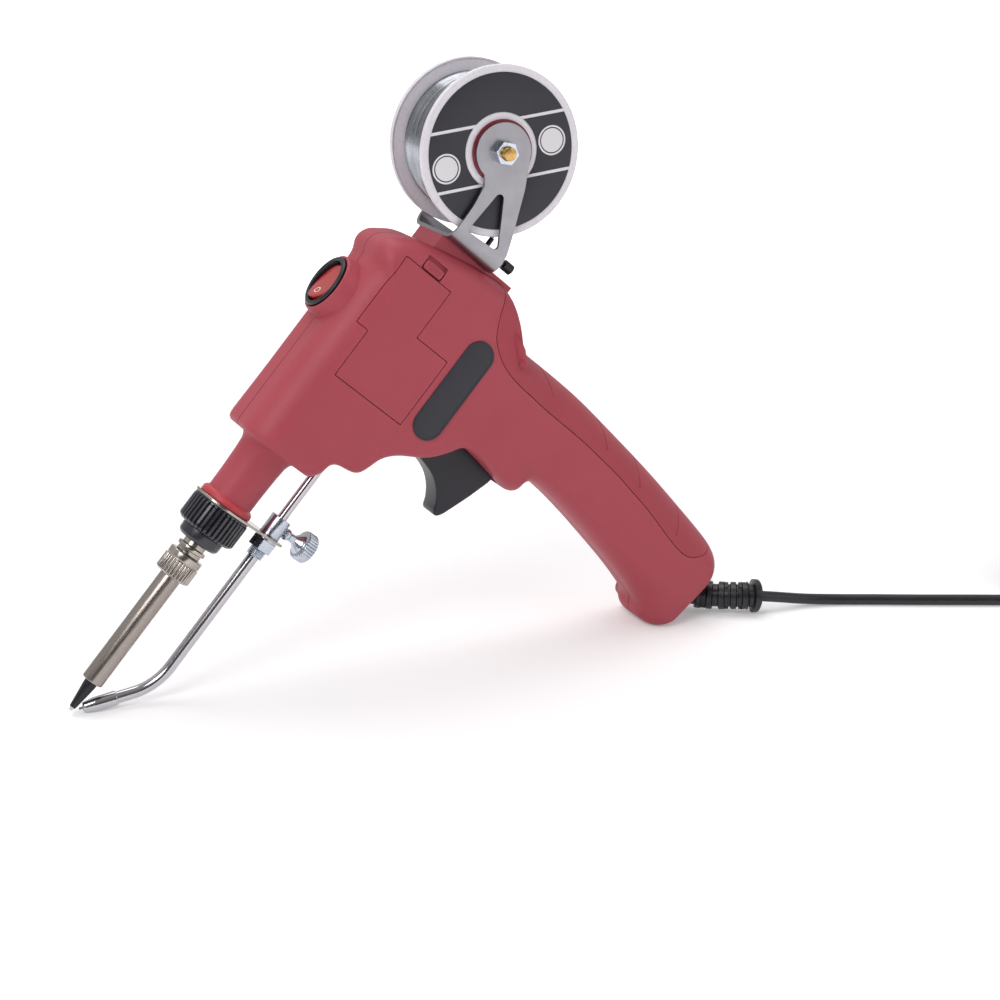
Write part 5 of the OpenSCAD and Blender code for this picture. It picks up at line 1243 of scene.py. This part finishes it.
@dataclass
class Cord:
    """Mains cord: relief at the foot, free run, a coil of the unseen length with its tie, and a two-pin plug.

    Points are row-frame millimetres.
    """

    frame: dict
    r: float = 2.25
    free: tuple = ((151.8, -14.2, 7.2), (157.3, -14.9, 6.3), (163.3, -15.5, 5.2), (169.3, -16.2, 4.1),
                   (175.3, -17.2, 3.2), (182.3, -19, 2.6), (190.3, -22, 2.3), (199.3, -26.1, 2.3),
                   (209.3, -30.8, 2.3), (220.3, -36, 2.3), (232.3, -41.5, 2.3), (244.3, -47, 2.3),
                   (256.3, -52.5, 2.3), (266.3, -57.1, 2.5), (277.3, -62.2, 2.9), (283.3, -65, 3.2))
    tail: tuple = ((308.5, -71.04, 18.1), (313.5, -71.04, 17.1), (318.5, -71.04, 15.1), (323.5, -71.04, 12.6),
                   (328.5, -71.04, 10.2), (333.5, -71.04, 8.3), (338, -71.04, 7.2), (343, -71.04, 6.85))
    centre: tuple = (303, -40.2)
    entry: float = 244.8
    leave: float = 270.0
    whole_turns: int = 7
    layers: int = 4
    inner_r: float = 22.0
    pitch: float = 5.0
    layer: float = 4.96
    floor_gap: float = 1.1
    strap_gap: float = 0.65
    strap_half: float = 3.5
    strap_thick: float = 0.38
    relief_foot: tuple = (175.3, -188.05)
    relief_root: tuple = (175.3, -164.4)
    relief_ribs: float = 7.6
    plug_length: float = 36.0
    pin_apart: float = 9.5
    pin: tuple = ((-0.5, 0), (-0.5, 2.0), (17.4, 2.0), (18.6, 1.6), (19.0, 0.9), (19.0, 0))

    @property
    def span(self) -> float:
        """Turns in each layer of the coil."""
        return (self.whole_turns + (self.leave - self.entry) / 360) / self.layers

    def coil(self) -> Array:
        """Layers that spiral in and out: the radius runs by the pitch each turn, height climbs over half a turn."""
        whole = self.layers * self.span
        count = round(24 * whole)
        t = whole * np.arange(count + 1) / count
        k = np.floor(np.minimum(t, whole - 0.001) / self.span)
        u = t - k * self.span
        radius = self.inner_r + self.pitch * np.where(k % 2 == 0, self.span - u, u)
        height = np.full_like(t, self.r + self.floor_gap)
        for n in range(1, self.layers):
            c = np.clip((t - n * self.span) * 2 + 0.5, 0, 1)
            height += self.layer * c * c * (3 - 2 * c)
        a = np.radians(self.entry + 360 * t)
        return np.stack([self.centre[0] + radius * np.cos(a), self.centre[1] + radius * np.sin(a), height], -1)

    def build(self) -> None:
        """Builds the cord and what is on it."""
        path = smooth_path(np.concatenate([self.free, self.coil(), self.tail]), 1.6)
        cord = to_object("mains_cord_line", swept(path, self.r, 14, Z_AXIS), stood=False)
        dressed(cord, PVC, "body", ["mains_cord", "cord_coil"])
        self.relief()
        tie = self.tie()
        plug, pins = self.plug()

    def relief(self) -> None:
        """Bend relief: radius steps between ribs and a neck by a rounded square wave, slots staggered by angle."""
        start, inner = (POSE.stand(np.array([x, 0.0, z])) / MM for x, z in (self.relief_foot, self.relief_root))
        way = np.array([math.sin(POSE.lean), 0, -math.cos(POSE.lean)])
        end = np.array(self.free[0])
        out = np.array(self.free[1]) - end
        out /= np.linalg.norm(out)
        t = np.linspace(0, 1, 260)[:, None]
        near, far = start + 8.5 * way, end - 8.5 * out
        bend = start * (1 - t) ** 3 + 3 * near * t * (1 - t) ** 2 + 3 * far * t * t * (1 - t) + end * t ** 3
        lead = inner + (start - inner) * np.linspace(0, 1, 12)[:-1, None]
        path = np.concatenate([lead, bend, end + out * np.array([[0.4]])])
        s = np.concatenate([np.full(11, -1.0), t[:, 0], [1.0]])
        ribs = np.clip(2.2 * np.cos(TURN * (s * self.relief_ribs - 0.25)) + 0.6, 0, 1)
        r = np.where(s < 0, 5.2, 4.75 + (1.4 - 0.6 * s) * ribs)
        r = np.where((s > 0.93) & (s < 0.995), 7.0, r)
        r = np.where(s >= 0.995, 5.6, r)
        skin = swept(path, r, 40, ripple=self.webs)
        dressed(to_object("relief_moulded", skin, stood=False), PVC, "body", ["strain_relief"])

    @staticmethod
    def webs(share: Array, radius: Array, a: Array) -> Array:
        """Webs between the relief's ribs: every other gap is filled on opposite sides."""
        web = np.abs(np.cos(a + QUARTER * (np.floor(share * 14) % 2))) > 0.86
        return 0.9 * web * ((radius < 5.3) & (share > 0.35))

    def tie(self) -> Object:
        """A strap round the coil's turns: a ring of a rounded rectangle."""
        room = self.r + self.strap_gap
        x0 = self.centre[0] - (self.inner_r + self.pitch * self.span) - room
        x1 = self.centre[0] - self.inner_r + room
        top = self.r + self.floor_gap + 3 * self.layer + room
        outline = eased([[x0, 0.4], [x1, 0.4], [x1, top], [x0, top]], 3.0, 8, closed=True)
        out = normals(outline, 1) * self.strap_thick
        low, high = self.centre[1] - self.strap_half, self.centre[1] + self.strap_half
        rows = [np.insert(outline + s * out, 1, y, 1) for s, y in ((1, low), (1, high), (-1, high), (-1, low))]
        obj = to_object("cord_strap", grid(np.stack(rows), loop_rows=True).outward(), stood=False)
        return dressed(obj, TIE, "body", ["cord_tie"], 0.15)

    def plug(self) -> tuple[Object, Object]:
        """A moulded two-pin plug: sections along it are rounded rectangles whose half width follows the profile."""
        x0, y0, z0 = self.tail[-1]
        s = np.linspace(0, 1, 60)[:, None]
        half_w = np.interp(s, [0, 0.03, 0.16, 0.36, 0.6, 0.96, 1.0], [4.2, 4.9, 7.6, 13.2, 17.2, 17.6, 16.6])
        half_h = np.interp(s, [0, 0.03, 0.2, 0.5, 0.96, 1.0], [4.2, 4.7, 5.6, 6.6, 6.8, 6.0])
        cx, cz = (np.sign(c) * np.abs(c) ** 0.55 for c in (np.cos(around(64)), np.sin(around(64))))
        ridge = 0.35 * (np.sin(s * 60) > 0.2) * (s > 0.45) * (s < 0.85) * (np.abs(cx) > 0.9)
        points = np.stack([x0 + self.plug_length * s + 0 * cx, y0 + (half_w - ridge) * cx, z0 + half_h * cz], -1)
        ends = [points[[k]] * [1, 0, 0] + [0, y0, z0] for k in (0, -1)]
        plug = to_object("plug_moulded", grid(np.concatenate([ends[0], points, ends[1]])).outward(), stood=False)
        dressed(plug, PVC, "body", ["mains_plug"])
        pins = [turned(eased(self.pin, 0.5), (x0 + self.plug_length, y0 + side * self.pin_apart, z0), X_AXIS, 40)
                for side in (-1, 1)]
        pair = to_object("plug_pins_turned", pins, stood=False)
        dressed(pair, ZINC, "body", ["plug_pins"])
        return plug, pair


# ---------------------------------------------------------------- studio

def aimed(obj: Object, at: Sequence[float], way: Vector) -> None:
    """Sets a camera or lamp at a point, looking along way."""
    obj.location = at
    obj.rotation_mode = "QUATERNION"
    obj.rotation_quaternion = way.to_track_quat("-Z", "Y")


@dataclass
class Studio:
    """Camera of the photograph, pale floor, soft lamps and a white surround."""

    camera_at: tuple = (-268.0, -683.2, 305.9)
    azimuth: float = math.radians(-24.31)
    elevation: float = math.radians(18.15)
    lens: float = 72.0
    sensor: float = 36.0
    floor_half: float = 3.0
    lamp_target: tuple = (0, 0, 0.11)
    # Name, place, size and power of each lamp
    lamps: tuple = (("key", (-0.75, -0.65, 0.95), 0.6, 6.4), ("fill", (0.8, -0.9, 0.6), 0.8, 2.9),
                    ("top", (0.1, 0.25, 1.2), 0.8, 4.6))

    def camera(self) -> None:
        """Places the camera with its back along (sin a cos e, -cos a cos e, sin e)."""
        a, e = self.azimuth, self.elevation
        back = Vector((math.sin(a) * math.cos(e), -math.cos(a) * math.cos(e), math.sin(e)))
        data = bpy.data.cameras.new("photo_camera")
        data.lens, data.sensor_width = self.lens, self.sensor
        data.clip_start, data.clip_end = 0.01, 50.0
        cam = placed("photo_camera", data)
        aimed(cam, Vector(self.camera_at) * MM, -back)
        bpy.context.scene.camera = cam

    def floor(self) -> None:
        """A plain pale floor that keeps its shadows: diffuse, lifted for camera, glossy and transmission rays.

        The lift grows with the distance from the middle, so that the far floor meets the white surround.
        """
        mesh = bpy.data.meshes.new("studio_floor")
        f = self.floor_half
        mesh.from_pydata([(-f, -f, 0), (f, -f, 0), (f, f, 0), (-f, f, 0)], [], [(0, 1, 2, 3)])
        floor = placed("studio_floor", mesh)
        mat = bpy.data.materials.new("studio_paper")
        nodes = Nodes(mat)
        place = nodes.place()
        tone = nodes.mix(nodes.noise(place, 900.0, 2.0), linear("#F4F3F4"), linear("#F1F0F1"))
        paper = nodes.add("BsdfDiffuse", {"Color": tone})
        rays = nodes.add("LightPath", {})
        seen = nodes.math("MAXIMUM", (rays, "Is Camera Ray"), (rays, "Is Glossy Ray"))
        seen = nodes.math("MAXIMUM", seen, (rays, "Is Transmission Ray"))
        level_here = nodes.spread(nodes.vector("LENGTH", place), (0.3, 1.0), (0.22, 0.98), "SMOOTHSTEP")
        lift = nodes.math("MULTIPLY", seen, level_here)
        light = nodes.add("Emission", {"Color": (1, 1, 1, 1), "Strength": lift})
        both = nodes.add("AddShader", {0: (paper, "BSDF"), 1: (light, "Emission")})
        nodes.add("OutputMaterial", {"Surface": (both, "Shader")})
        mesh.materials.append(mat)

    def world(self) -> None:
        """A white surround for camera rays; the room itself is bright behind and above, dimmer on the viewer's side."""
        world = bpy.data.worlds.new("studio_room")
        bpy.context.scene.world = world
        nodes = Nodes(world)
        split = nodes.add("SeparateXYZ", {"Vector": nodes.place("Generated")})
        back = nodes.spread((split, "Y"), (-0.7, 0.35), (0.08, 0.52), "SMOOTHSTEP")
        up = nodes.spread((split, "Z"), (0.1, 0.85), (0.0, 0.2), "SMOOTHSTEP")
        seen = (nodes.add("LightPath", {}), "Is Camera Ray")
        strength = nodes.add("Mix", {0: seen, 2: nodes.math("ADD", back, up), 3: 1.0}, data_type="FLOAT")
        sky = nodes.add("Background", {"Color": (1, 1, 1, 1), "Strength": (strength, 0)})
        nodes.add("OutputWorld", {"Surface": (sky, "Background")})

    def build(self) -> None:
        """Floor, surround and square soft lamps aimed at the object's middle."""
        self.floor()
        self.world()
        for name, at, size, power in self.lamps:
            data = bpy.data.lights.new(name, "AREA")
            data.size, data.energy = size, power
            aimed(placed(name, data), at, Vector(self.lamp_target) - Vector(at))
        bpy.context.scene.view_settings.view_transform = "Standard"


def main() -> None:
    """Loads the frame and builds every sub-assembly."""
    logging.basicConfig(level=logging.INFO, format="%(message)s")
    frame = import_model()
    studio = Studio()
    studio.camera()
    for assembly in (Cord, Casing, Barrel, Guide, Mechanism, SpoolStand):
        assembly(frame).build()
    studio.build()


if __name__ == "__main__":
    main()
